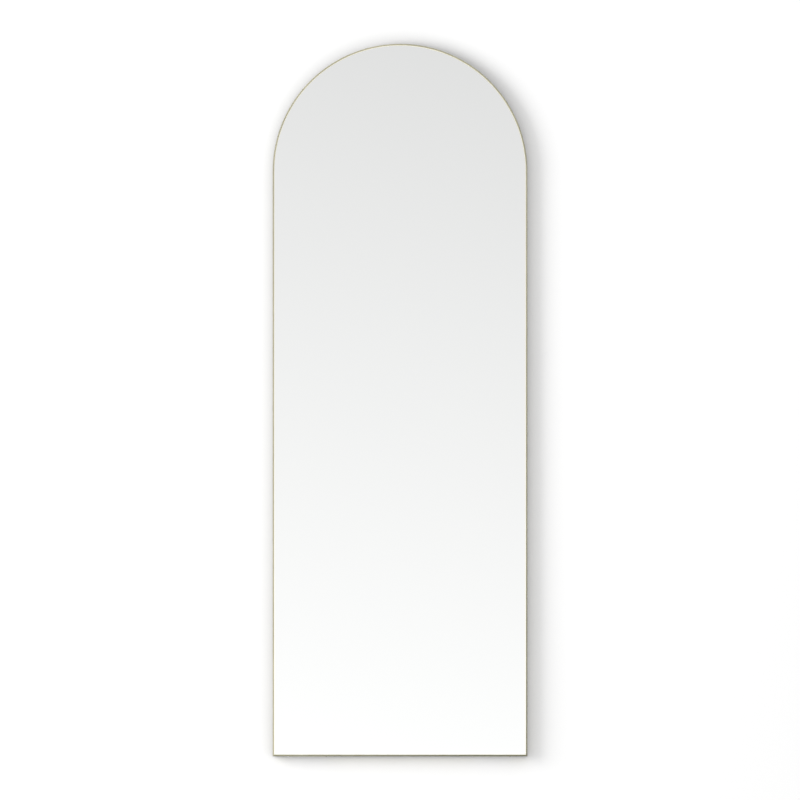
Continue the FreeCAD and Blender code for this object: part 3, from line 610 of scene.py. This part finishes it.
# %% The bent bar's tree
bar_tree, given = new_geometry_tree(
    "bent_bar", Thick=float, Deep=float, Front_Round=float, Rear_Round=float,
    Bend_Steps=int, Round_Steps=int, Mitre=float, Finish="material")
line = bar_tree.add("GeometryNodeMeshToCurve", None, {0: given["geometry"]})
line = bar_tree.add("GeometryNodeFilletCurve", {"mode": "POLY"},
                    {"Curve": line, "Count": given["Bend_Steps"], "Radius": stored(bar_tree, "bend"),
                     "Limit Radius": True})
line = bar_tree.add("GeometryNodeSetCurveNormal", {"mode": "FREE"}, {"Curve": line, "Normal": (0, 1, 0)})
share = bar_tree.add("GeometryNodeSplineParameter")
ends = (share > 0.99999) - (share < 0.00001)
line = store(bar_tree, line, "cut", ends * given["Mitre"])
line = store(bar_tree, line, "heading", bar_tree.add("GeometryNodeInputTangent"), "FLOAT_VECTOR")

section = bar_tree.add("GeometryNodeCurvePrimitiveQuadrilateral", {"mode": "RECTANGLE"},
                       {"Width": given["Deep"], "Height": given["Thick"]})
corner, _, _ = bar_tree.split(bar_tree.add("GeometryNodeInputPosition"))
at_front = corner < 0.0
rounding = at_front * given["Front_Round"] + (1 - at_front) * given["Rear_Round"]
section = bar_tree.add("GeometryNodeFilletCurve", {"mode": "POLY"},
                       {"Curve": section, "Count": given["Round_Steps"], "Radius": rounding,
                        "Limit Radius": True})
_, outwards, _ = bar_tree.split(bar_tree.add("GeometryNodeInputPosition"))
section = store(bar_tree, section, "outwards", outwards)

bar = bar_tree.add("GeometryNodeCurveToMesh", None,
                   {"Curve": line, "Profile Curve": section, "Fill Caps": True})
heading = stored(bar_tree, "heading", "FLOAT_VECTOR")
slide = bar_tree.add("ShaderNodeVectorMath", {"operation": "SCALE"},
                     {0: heading, "Scale": stored(bar_tree, "cut") * stored(bar_tree, "outwards")})
bar = bar_tree.add("GeometryNodeSetPosition", None, {"Geometry": bar, "Offset": slide})
bar = bar_tree.add("GeometryNodeMergeByDistance", None, {"Geometry": bar, "Distance": 0.002 * MM})
for label in ("cut", "outwards", "heading", "bend"):
    bar = bar_tree.add("GeometryNodeRemoveAttribute", None, {"Geometry": bar, "Name": label})
close_geometry_tree(bar_tree, bar, given["Finish"])


def bare_line(points, bends, closed=False):
    """A line through points, with the bend radius that each corner gets."""
    edges = [(i, i + 1) for i in range(len(points) - 1)]
    mesh = bpy.data.meshes.new("line")
    mesh.from_pydata(points, edges + ([(len(points) - 1, 0)] if closed else []), [])
    mesh.attributes.new("bend", "FLOAT", "POINT").data.foreach_set("value", bends)
    return mesh

# %% The arch and both jambs
MID_DEPTH = (BAR_FRONT + BAR_REAR) / 2
FOOT = SILL_LOW.z + BAR_THICK / 2
CROWN = HEIGHT - BAR_THICK / 2
arch_line = bare_line(
    [(-MID_LINE, MID_DEPTH, FOOT), (-MID_LINE, MID_DEPTH, CROWN), (MID_LINE, MID_DEPTH, CROWN),
     (MID_LINE, MID_DEPTH, FOOT)],
    [0.0, MID_LINE, MID_LINE, 0.0])
BAR_SIZES = {"Thick": BAR_THICK, "Deep": BAR_DEEP, "Front_Round": 0.8 * MM, "Rear_Round": 0.5 * MM,
             "Round_Steps": 5, "Mitre": 1.0}
arch_bar = grow("arch_bar", arch_line, bar_tree, Bend_Steps=96, Finish=brass_round_arch, **BAR_SIZES)
arch_bar = even_shading(arch_bar)
stands_for(arch_bar, "mirror", "brass_plated_steel", "frame_arch_band")

# %% The sill
sill_line = bare_line([(MID_LINE, MID_DEPTH, FOOT), (-MID_LINE, MID_DEPTH, FOOT)], [0.0, 0.0])
sill_bar = grow("sill_bar", sill_line, bar_tree, Bend_Steps=1, Finish=brass_on_sill, **BAR_SIZES)
sill_bar = even_shading(sill_bar)
stands_for(sill_bar, "mirror", "brass_plated_steel", "frame_sill")

# %% [markdown]
# ## The mirror pane
#
# The pane is 5 mm float glass, silvered on its back. Its face is the main thing that anyone sees,
# and it is dead flat, so it shows the room without a ripple. The edge of a framed pane isn't
# polished: a belt takes the sharp corners off and leaves a matt, whitish arris. Lit from the front
# it glints as a thin pale line just inside the brass. A painted glow on the arris makes that line
# brighter, standing in for light that leaves the glass through its ground edge, and it is weaker
# higher up, as in the photograph. The pane is built as loops round the arch, one for each place
# where the edge turns, and the two faces are filled with strips from side to side, so that no face is a fan of
# slivers.

# %% Glass finishes
def silvered_glass():
    """Silver behind glass: very bright, very slightly green, with a breath of dust on it."""
    finish = Finish("silvered_glass", Metallic=1.0)
    tree = finish.tree
    dust = tree.noise(finish.at, 5.0, detail=5, rough=0.6)
    tint = tree.mix(tree.noise(finish.at, 1.5), colour(0.926, 0.934, 0.930), colour(0.930, 0.934, 0.928))
    return finish.set(Base_Color=tint, Roughness=tree.spread(dust, 0.45, 0.8, 0.0, 0.02)).material


def ground_arris():
    """Glass that a belt has ground: white, matt, with fine scratches that follow the edge, and a painted glow."""
    finish = Finish("ground_arris", IOR=1.5, Emission_Strength=0.75)
    tree = finish.tree
    x, y, z = tree.split(finish.at)
    run, across = along_the_arch(tree, x, z)
    belt = tree.noise(tree.stretch(tree.vector(run, across, y), 120, 6000, 6000), detail=2)
    chips = tree.noise(finish.at, 900.0, detail=1)
    chipped = tree.spread(chips, 0.55, 0.75, 0.0, 0.6)
    tint = tree.mix(chipped, colour(0.97, 0.96, 0.86), colour(0.80, 0.84, 0.76))
    # Painted glow: its strength is set above, and it is cream low down and dimmer higher up.
    higher = tree.spread(z, 0.3, HEIGHT, 0.0, 1.0)
    painted_glow = tree.mix(higher, colour(1.0, 0.97, 0.84), colour(0.52, 0.50, 0.43))
    return finish.set(Base_Color=tint, Roughness=tree.spread(belt, 0.3, 0.7, 0.35, 0.6),
                      Emission_Color=painted_glow, Normal=tree.bump(belt, 0.01 * MM)).material


def glass_edge():
    """The side of the pane, where one looks into the depth of the glass: dark green."""
    finish = Finish("glass_edge", IOR=1.5)
    tree = finish.tree
    depth = tree.noise(tree.stretch(finish.at, 60, 900, 60), detail=2)
    tint = tree.mix(depth, colour(0.05, 0.13, 0.09), colour(0.12, 0.24, 0.18))
    return finish.set(Base_Color=tint, Roughness=tree.spread(depth, 0.3, 0.7, 0.2, 0.4)).material


def silver_guard():
    """Grey paint that keeps the silver from tarnishing, rolled on in two thin coats."""
    finish = Finish("silver_guard_paint")
    tree = finish.tree
    roll = tree.noise(tree.stretch(finish.at, 30, 1, 700), detail=2)
    tint = tree.mix(roll, colour(0.22, 0.24, 0.26), colour(0.28, 0.30, 0.32))
    return finish.set(Base_Color=tint, Roughness=tree.spread(roll, 0.3, 0.7, 0.5, 0.65)).material


GLASS_FINISHES = [silvered_glass(), ground_arris(), glass_edge(), silver_guard()]
SILVER, GROUND, EDGE, GUARD = range(4)
print("glass:", ", ".join(finish.name for finish in GLASS_FINISHES))

# %% The pane
PANE_LOW, PANE_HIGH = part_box("mirror_glass")
SLIT_CLOSED = 0.2 * MM
PANE_HALF = PANE_HIGH.x + SLIT_CLOSED
ARRIS = 1.2 * MM
REAR_ARRIS = 0.5 * MM
ARCH_STEPS = 192
SIDE_STEPS = 24


def arched_loop(half, foot, y):
    """Points round an arched outline, from the left foot over the arch to the right foot."""
    rise = [foot + (ARCH_Z - foot) * i / SIDE_STEPS for i in range(SIDE_STEPS)]
    bow = [math.pi * (1 - i / ARCH_STEPS) for i in range(ARCH_STEPS + 1)]
    return ([(-half, y, z) for z in rise]
            + [(half * math.cos(a), y, ARCH_Z + half * math.sin(a)) for a in bow]
            + [(half, y, z) for z in reversed(rise)])


def strip_faces(first, count, towards_front):
    """Faces from side to side across one loop, from its foot to its crown."""
    faces = []
    for i in range(count // 2 - (count % 2 == 0)):
        j = count - 1 - i
        quad = [first + i, first + i + 1, first + j - 1, first + j]
        quad = quad[:2] + quad[3:] if i + 1 == j - 1 else quad
        faces.append(quad if towards_front else quad[::-1])
    return faces


def band_faces(low, high, count):
    """Faces all round between two loops."""
    return [[low + i, high + i, high + (i + 1) % count, low + (i + 1) % count] for i in range(count)]


def layered_panel(name, layers):
    """A panel from outlines (half width, foot, y, finish of what lies behind it), front to back."""
    loops = [arched_loop(half, foot, y) for half, foot, y, _ in layers]
    count = len(loops[0])
    faces = strip_faces(0, count, True)
    kinds = [SILVER] * len(faces)
    for number, (_, _, _, kind) in enumerate(layers[:-1]):
        faces += band_faces(number * count, (number + 1) * count, count)
        kinds += [kind] * count
    back = strip_faces((len(layers) - 1) * count, count, False)
    kinds += [layers[-1][3]] * len(back)
    mesh = bpy.data.meshes.new(name)
    mesh.from_pydata([p for loop in loops for p in loop], [], faces + back)
    for material in GLASS_FINISHES:
        mesh.materials.append(material)
    mesh.polygons.foreach_set("material_index", kinds)
    shape = bmesh.new()
    shape.from_mesh(mesh)
    bmesh.ops.recalc_face_normals(shape, faces=shape.faces)
    shape.to_mesh(mesh)
    shape.free()
    return placed(name, mesh)


foot = PANE_LOW.z
pane = layered_panel("mirror_pane", [
    (PANE_HALF - ARRIS, foot + ARRIS, PANE_LOW.y, GROUND),
    (PANE_HALF, foot, PANE_LOW.y + ARRIS, EDGE),
    (PANE_HALF, foot, PANE_HIGH.y - REAR_ARRIS, GROUND),
    (PANE_HALF - REAR_ARRIS, foot + REAR_ARRIS, PANE_HIGH.y, GUARD),
])
pane = even_shading(pane, crease=20.0)
stands_for(pane, "mirror", "mirror_glass", "mirror_glass")

# %% [markdown]
# ## Plating, rubber, board, foam and film
#
# These finishes share one idea. Each reads the piece's own place in space, so the grain has its
# real size whatever the piece, and each mixes a slow change of tone with a fine one: bright zinc is
# cloudy with a bluish cast, moulded rubber has a fine grain and a bloom of dust, and raw
# fibreboard is full of short fibres, with faint lines from the sanding belt that ran up the sheet.
# The pads under the sill are a pale grey rubber that leaves no marks on a floor: in the photograph
# no dark foot shows under the brass line.

# %% Zinc, plated weldments and rubber
def bright_zinc():
    finish = Finish("bright_zinc", Metallic=1.0)
    tree = finish.tree
    cloud = tree.noise(finish.at, 90.0, detail=3)
    scuffs = tree.noise(tree.stretch(finish.at, 900, 900, 120), detail=3, rough=0.7)
    cloudy = tree.spread(cloud, 0.35, 0.65, 0.0, 1.0)
    tint = tree.mix(cloudy, colour(0.66, 0.69, 0.74), colour(0.76, 0.75, 0.70))
    rough = tree.spread(cloud * 0.5 + scuffs * 0.5, 0.35, 0.65, 0.20, 0.38)
    return finish.set(Base_Color=tint, Roughness=rough, Normal=tree.bump(scuffs, 0.004 * MM)).material


def plated_weldment():
    """Brass over parts that were welded and blasted, not brushed: an even, slightly pebbled satin."""
    finish = Finish("plated_weldment", Metallic=1.0)
    tree = finish.tree
    cloud = tree.noise(finish.at, 40.0, detail=3)
    pebble = tree.noise(finish.at, 2200.0, detail=1)
    cloudy = tree.spread(cloud, 0.3, 0.7, 0.0, 1.0)
    tone = tree.mix(cloudy, colour(0.78, 0.68, 0.38), colour(0.64, 0.54, 0.28))
    rough = tree.spread(pebble, 0.3, 0.7, 0.36, 0.50)
    return finish.set(Base_Color=tone, Roughness=rough, Normal=tree.bump(pebble, 0.02 * MM)).material


def moulded_rubber(name, clean, dusted, bloom):
    finish = Finish(name, Specular_IOR_Level=0.35)
    tree = finish.tree
    grain = tree.noise(finish.at, 1800.0, detail=2)
    dusty = tree.noise(finish.at, 70.0, detail=4, rough=0.65)
    tint = tree.mix(tree.spread(dusty, 0.4, 0.75, 0.0, bloom), clean, dusted)
    rough = tree.spread(dusty, 0.3, 0.7, 0.55, 0.80)
    return finish.set(Base_Color=tint, Roughness=rough, Normal=tree.bump(grain, 0.03 * MM)).material


zinc = bright_zinc()
weldment = plated_weldment()
BLACK = colour(0.022, 0.022, 0.024)
DUST = colour(0.20, 0.19, 0.18)
bumper_rubber = moulded_rubber("bumper_rubber", BLACK, DUST, 0.35)
setting_rubber = moulded_rubber("setting_pad_rubber", BLACK, DUST, 0.6)
GREY = colour(0.50, 0.495, 0.46)
SCUFFED = colour(0.36, 0.35, 0.32)
floor_rubber = moulded_rubber("floor_pad_rubber", GREY, SCUFFED, 0.8)
print("fittings:", zinc.name, weldment.name, bumper_rubber.name, setting_rubber.name, floor_rubber.name)

# %% Fibreboard, foam tape and safety film
def raw_fibreboard():
    finish = Finish("raw_fibreboard", Specular_IOR_Level=0.25)
    tree = finish.tree
    wide = tree.noise(finish.at, 6.0, detail=4)
    mat = tree.noise(finish.at, 800.0, 4.0, 0.75, twist=2.5)
    fine = tree.noise(finish.at, 3200.0, detail=2, rough=0.7)
    belt = tree.noise(tree.stretch(finish.at, 900, 1, 9), detail=2)
    felt = mat * 0.6 + fine * 0.4
    fibres = tree.spread(felt, 0.36, 0.64, 0.0, 1.0)
    tint = tree.mix(fibres, colour(0.43, 0.30, 0.185), colour(0.565, 0.425, 0.28))
    tint = tree.mix(tree.spread(wide, 0.35, 0.65, 0.0, 0.30), tint, colour(0.46, 0.33, 0.21))
    tint = tree.mix(tree.spread(belt, 0.55, 0.75, 0.0, 0.14), tint, colour(0.70, 0.56, 0.40))
    dark = tree.spread(tree.noise(finish.at, 640.0, detail=2), 0.70, 0.76, 0.0, 0.45)
    tint = tree.mix(dark, tint, colour(0.20, 0.125, 0.07))
    return finish.set(Base_Color=tint, Roughness=tree.spread(felt, 0.3, 0.7, 0.72, 0.88),
                      Normal=tree.bump(felt, 0.03 * MM)).material


def foam_tape():
    finish = Finish("foam_tape_cells", Specular_IOR_Level=0.2)
    tree = finish.tree
    cells = tree.add("ShaderNodeTexVoronoi", {"feature": "F1"}, {"Vector": finish.at, "Scale": 2600.0})
    walls = tree.spread(cells, 0.1, 0.6, 0.0, 1.0)
    tint = tree.mix(walls, colour(0.62, 0.62, 0.60), colour(0.88, 0.88, 0.86))
    rough = tree.spread(cells, 0.0, 0.6, 0.9, 0.75)
    return finish.set(Base_Color=tint, Roughness=rough, Normal=tree.bump(cells, 0.1 * MM)).material


def safety_film():
    finish = Finish("safety_film_sheet", IOR=1.5)
    tree = finish.tree
    creases = tree.noise(tree.stretch(finish.at, 25, 1, 4), detail=5, rough=0.6)
    tint = tree.mix(creases, colour(0.70, 0.74, 0.79), colour(0.86, 0.88, 0.90))
    rough = tree.spread(creases, 0.3, 0.7, 0.25, 0.45)
    return finish.set(Base_Color=tint, Roughness=rough, Normal=tree.bump(creases, 0.1 * MM)).material


def dress(material, *nodes):
    """Gives CAD nodes a finish. Their shape stays as it is."""
    for name in nodes:
        node = frame["nodes"][name]
        if not node.material_slots:
            node.data.materials.append(material)
        for slot in node.material_slots:
            slot.material = material
    print(material.name, "on", ", ".join(nodes))


dress(raw_fibreboard(), "backing_board")
dress(foam_tape(), "bonding_tape")
dress(safety_film(), "safety_film")
dress(setting_rubber, "setting_pad_left", "setting_pad_right")
dress(floor_rubber, "floor_pad_left", "floor_pad_right")
dress(zinc, "bumper_washers")

# %% [markdown]
# ## Easing sharp edges
#
# A CAD plate has perfectly sharp corners, and real ones never have: shearing, tumbling and plating
# leave a radius of a few tenths of a millimetre that catches the light. Each pressed or moulded
# fitting is copied, its loose triangles are joined, and a small bevel goes on every sharp edge.

# %% Eased copies of the small fittings
SAME_PLACE = 0.001 * MM
PLATE_EDGE = 0.25 * MM
STRAP_EDGE = 0.2 * MM
RUBBER_EDGE = 0.4 * MM


def joined_copy(node):
    """A CAD node's mesh with its loose triangles joined up, as an editable mesh."""
    shape = bmesh.new()
    shape.from_mesh(frame["nodes"][node].data)
    bmesh.ops.remove_doubles(shape, verts=shape.verts, dist=SAME_PLACE)
    return shape


def eased(name, node, material, edge):
    """A copy of a CAD node with its flat triangles merged and its sharp edges rounded."""
    shape = joined_copy(node)
    bmesh.ops.dissolve_limit(shape, angle_limit=math.radians(0.5), verts=shape.verts, edges=shape.edges)
    mesh = bpy.data.meshes.new(name)
    shape.to_mesh(mesh)
    shape.free()
    mesh.materials.clear()
    mesh.materials.append(material)
    piece = placed(name, mesh)
    bevel = piece.modifiers.new("ease", "BEVEL")
    bevel.width = edge
    bevel.segments = 2
    bevel.limit_method = "ANGLE"
    bevel.angle_limit = math.radians(40)
    bevel.use_clamp_overlap = True
    return even_shading(plain(name, piece), crease=50.0)


def fit(name, node, material, edge, slot):
    """One eased fitting in place of its CAD node."""
    stands_for(eased(name, node, material, edge), "mirror", slot, node)


WELDED = {"left_gusset_plate": "corner_gusset_left", "right_gusset_plate": "corner_gusset_right",
          "arch_lugs_plates": "arch_lugs", "left_jamb_lugs_plates": "left_jamb_lugs",
          "right_jamb_lugs_plates": "right_jamb_lugs", "sill_lugs_plates": "sill_lugs"}
HANGERS = ("left", "right", "tether")
for name, node in WELDED.items():
    fit(name, node, weldment, PLATE_EDGE, "brass_plated_steel")
for hanger in HANGERS:
    fit(f"{hanger}_strap_steel", f"{hanger}_hanger_strap", zinc, STRAP_EDGE, "zinc_plated_steel")
for bumper in ("low_bumper_left", "low_bumper_right", "high_bumper_left", "high_bumper_right"):
    fit(f"{bumper}_rubber", bumper, bumper_rubber, RUBBER_EDGE, "black_rubber")

# %% [markdown]
# ## D rings
#
# A D ring is a length of round wire, bent tight beside its straight bar and wide below, and butt
# welded where the strap's eye hides the joint. The bent-bar tree makes it: the section is as round
# as it is thick, and the two bends at the bottom are so wide that they meet in a half circle.
# Each ring rides on its own body, so that it swings in its eye.

# %% Rings
WIRE = 3.2 * MM
RING_HALF = 13.0 * MM
RING_BENDS = [3.0 * MM, 3.0 * MM, RING_HALF, RING_HALF]
RING_DROP = 22.0 * MM
axes = {joint["name"]: Vector(joint["pos_m"]) for joint in frame["joints"]}
for hanger in HANGERS:
    x, y, z = axes[f"{hanger}_ring_swing"]
    line = bare_line([(x - RING_HALF, y, z), (x + RING_HALF, y, z), (x + RING_HALF, y, z - RING_DROP),
                      (x - RING_HALF, y, z - RING_DROP)], RING_BENDS, closed=True)
    ring = grow(f"{hanger}_ring_wire", line, bar_tree, Thick=WIRE, Deep=WIRE, Front_Round=WIRE / 2,
                Rear_Round=WIRE / 2, Bend_Steps=14, Round_Steps=5, Mitre=0.0, Finish=zinc)
    stands_for(even_shading(ring), f"{hanger}_ring", "zinc_plated_steel", f"{hanger}_hanger_ring")

# %% [markdown]
# ## Screws
#
# Every screw is the same pan-head wood screw, only longer under a bumper. One is turned on a
# lathe as a profile, and its cross recess is punched with a tapered cutter, as the real one is.
# A small tree then sets a copy at each hole. Hand-driven screws stop at any angle, so each copy is
# turned at random about its own axis, with a fixed seed so that every run gives the same turns.

# %% One screw
HEAD_RADIUS = 3.5 * MM
HEAD_HIGH = 2.4 * MM
SHANK = 1.75 * MM
DOME_FROM = 1.3 * MM
DOME_RISE = 1.1 * MM
POINT_LONG = 2.5 * MM
RECESS_DEEP = 1.5 * MM
RECESS_TIP = 0.45


def closed_mesh(name, shape):
    """The mesh of an edit mesh, with every face turned outwards."""
    bmesh.ops.recalc_face_normals(shape, faces=shape.faces)
    mesh = bpy.data.meshes.new(name)
    shape.to_mesh(mesh)
    shape.free()
    return mesh


def turned(name, profile, steps=36):
    """A closed shape turned about +Y. The profile is (radius, y) from pole to pole."""
    shape = bmesh.new()
    rings = []
    for radius, y in profile:
        count = 1 if radius == 0 else steps
        rings.append([shape.verts.new((radius * math.cos(2 * math.pi * i / steps), y,
                                       radius * math.sin(2 * math.pi * i / steps))) for i in range(count)])
    for low, high in zip(rings, rings[1:]):
        for i in range(steps):
            k = (i + 1) % steps
            corners = [low[i % len(low)], low[k % len(low)], high[k % len(high)], high[i % len(high)]]
            shape.faces.new(list(dict.fromkeys(corners)))
    return closed_mesh(name, shape)


def cross_cutter():
    """A cross-shaped punch that narrows as it goes in."""
    long, short = 2.15 * MM, 0.5 * MM
    quarter = [(long, -short), (long, short), (short, short)]
    outline = []
    for _ in range(4):
        outline += quarter
        quarter = [(-v, u) for u, v in quarter]
    top, tip = HEAD_HIGH + 0.2 * MM, HEAD_HIGH - RECESS_DEEP
    points = [(u, top, v) for u, v in outline]
    points += [(u * RECESS_TIP, tip, v * RECESS_TIP) for u, v in outline]
    count = len(outline)
    sides = [(i, (i + 1) % count, count + (i + 1) % count, count + i) for i in range(count)]
    shape = bmesh.new()
    corners = [shape.verts.new(p) for p in points]
    for side in sides:
        shape.faces.new([corners[i] for i in side])
    shape.faces.new(corners[:count])
    shape.faces.new(corners[count:])
    return closed_mesh("cross", shape)


def screw(under_head):
    """A pan-head screw whose seat is at the origin, with this much of it under its head."""
    tip = -under_head
    shank = [(0, tip), (SHANK * 0.5, tip + 1.2 * MM), (SHANK, tip + POINT_LONG), (SHANK, 0.0)]
    seat = [(HEAD_RADIUS - 0.15 * MM, 0.0), (HEAD_RADIUS, 0.15 * MM)]
    angles = [math.radians(degrees) for degrees in (0, 15, 30, 45)]
    dome = [(HEAD_RADIUS * math.cos(a), DOME_FROM + DOME_RISE * math.sin(a)) for a in angles]
    crown = [(1.9 * MM, 2.33 * MM), (1.0 * MM, HEAD_HIGH), (0, HEAD_HIGH)]
    blank = placed("blank", turned("blank", shank + seat + dome + crown))
    punch = placed("punch", cross_cutter())
    cut = blank.modifiers.new("punch", "BOOLEAN")
    cut.object = punch
    cut.solver = "EXACT"
    made = plain("one_screw", blank)
    bpy.data.objects.remove(punch)
    return even_shading(made, crease=35.0)


print(f"screw: head {2 * HEAD_RADIUS / MM:.1f} mm across, shank {2 * SHANK / MM:.1f} mm")

# %% Screws at their holes
set_tree, given = new_geometry_tree("screws_at_holes", Screw="object", Seed=int, Finish="material")
one = set_tree.add("GeometryNodeObjectInfo", None, {"Object": given["Screw"]}, out="Geometry")
full_turn = set_tree.add("FunctionNodeRandomValue", {"data_type": "FLOAT"},
                         {2: 0.0, 3: 2 * math.pi, "Seed": given["Seed"]}, out=1)
turn = set_tree.vector(0.0, full_turn, 0.0)
copies = set_tree.add("GeometryNodeInstanceOnPoints", None,
                      {"Points": given["geometry"], "Instance": one, "Rotation": turn})
close_geometry_tree(set_tree, copies, given["Finish"])


def islands(node):
    """The separate solids of a CAD node, each as an array of its corners."""
    shape = joined_copy(node)
    left, found = set(shape.verts), []
    while left:
        start = next(v for v in shape.verts if v in left)
        front, island = [start], []
        left.discard(start)
        while front:
            here = front.pop()
            island.append(here.co[:])
            for link in here.link_edges:
                there = link.other_vert(here)
                if there in left:
                    left.discard(there)
                    front.append(there)
        found.append(np.array(island))
    shape.free()
    return found


def seats(node):
    """Where the head of each screw in a CAD node seats."""
    middles = [(solid.min(0) + solid.max(0)) / 2 for solid in islands(node)]
    return [(m[0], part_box(node)[1].y - HEAD_HIGH, m[2]) for m in middles]


def set_screws(name, node, seed):
    low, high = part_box(node)
    template = screw(high.y - HEAD_HIGH - low.y)
    holes = bpy.data.meshes.new("holes")
    holes.from_pydata(seats(node), [], [])
    piece = grow(name, holes, set_tree, Screw=template, Seed=seed, Finish=zinc)
    bpy.data.objects.remove(template)
    stands_for(piece, "mirror", "zinc_plated_steel", node)


SCREW_SETS = {"board_screw_set": "board_screws", "left_strap_screw_set": "left_hanger_screws",
              "right_strap_screw_set": "right_hanger_screws",
              "tether_strap_screw_set": "tether_hanger_screws", "bumper_screw_set": "bumper_screws"}
for seed, (name, node) in enumerate(SCREW_SETS.items(), 1):
    set_screws(name, node, seed)

# %% [markdown]
# ## Weld beads
#
# Lugs and gussets are welded where they meet the bar. A hand weld is a row of overlapping drops,
# each a little different. The tree walks along every root line, sets a flattened drop about twice
# in each millimetre, varies its size, and leaves the drops to overlap into a rippled bead. The root
# lines are read from the CAD plates: an edge of the rear face with both ends against the bar.

# %% The bead's tree
bead_tree, given = new_geometry_tree("weld_bead", Drop=float, Pitch=float, Seed=int, Finish="material")
root = bead_tree.add("GeometryNodeMeshToCurve", None, {0: given["geometry"]})
walk = bead_tree.add("GeometryNodeCurveToPoints", {"mode": "LENGTH"},
                     {"Curve": root, "Length": given["Pitch"]})
drop = bead_tree.add("GeometryNodeMeshUVSphere", None, {"Segments": 8, "Rings": 6, "Radius": given["Drop"]})
size = bead_tree.add("FunctionNodeRandomValue", {"data_type": "FLOAT"},
                     {2: 0.88, 3: 1.06, "Seed": given["Seed"]}, out=1)
drops = bead_tree.add("GeometryNodeInstanceOnPoints", None,
                      {"Points": walk, "Instance": drop, "Rotation": walk.other("Rotation"),
                       "Scale": bead_tree.vector(size, size, size * 0.8)})
drops = bead_tree.add("GeometryNodeRealizeInstances", None, {"Geometry": drops})
drops = bead_tree.add("GeometryNodeSetShadeSmooth", None, {"Geometry": drops, "Shade Smooth": True})
close_geometry_tree(bead_tree, drops, given["Finish"])

# %% Beads along the roots
TOUCH = 0.2 * MM
CORNER_END = 0.8 * MM


def gap_to_bar(point):
    """How far a point inside the frame is from the bar."""
    if point.z > ARCH_Z:
        return INNER - math.hypot(point.x, point.z - ARCH_Z)
    return min(INNER - abs(point.x), point.z - SILL_HIGH.z)


def root_lines(node):
    """The edges of a plate's rear face that lie against the bar, each as its two ends."""
    shape = joined_copy(node)
    rear = max(v.co.y for v in shape.verts)
    lines = []
    for edge in shape.edges:
        ends = [v.co.copy() for v in edge.verts]
        if all(rear - p.y < SAME_PLACE and gap_to_bar(p) < TOUCH for p in ends):
            lines.append(ends)
    shape.free()
    return lines


welds = []
for node in WELDED.values():
    welds += root_lines(node)
gusset_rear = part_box("corner_gusset_left")[1].y
for x in (-INNER, INNER):
    welds.append([Vector((x, gusset_rear, SILL_HIGH.z)), Vector((x, BAR_REAR - CORNER_END, SILL_HIGH.z))])
roots = bpy.data.meshes.new("roots")
pairs = [(2 * i, 2 * i + 1) for i in range(len(welds))]
roots.from_pydata([end for line in welds for end in line], pairs, [])
bead = grow("weld_beads", roots, bead_tree, Drop=1.25 * MM, Pitch=0.55 * MM, Seed=7, Finish=weldment)
stands_for(bead, "mirror", "brass_plated_steel")
print(len(welds), "root lines")

# %% [markdown]
# ## The dressed mirror's box
#
# The dressed mirror has to fill the same box as the CAD model. Both boxes are printed.

# %% Sizes
new_low, new_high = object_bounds()
boxes = {"cad": [list(cad_low), list(cad_high)], "visual": [list(new_low), list(new_high)]}
for name, (low, high) in boxes.items():
    print(f"{name:7}", [round(v / MM, 2) for v in low], [round(v / MM, 2) for v in high], "mm")
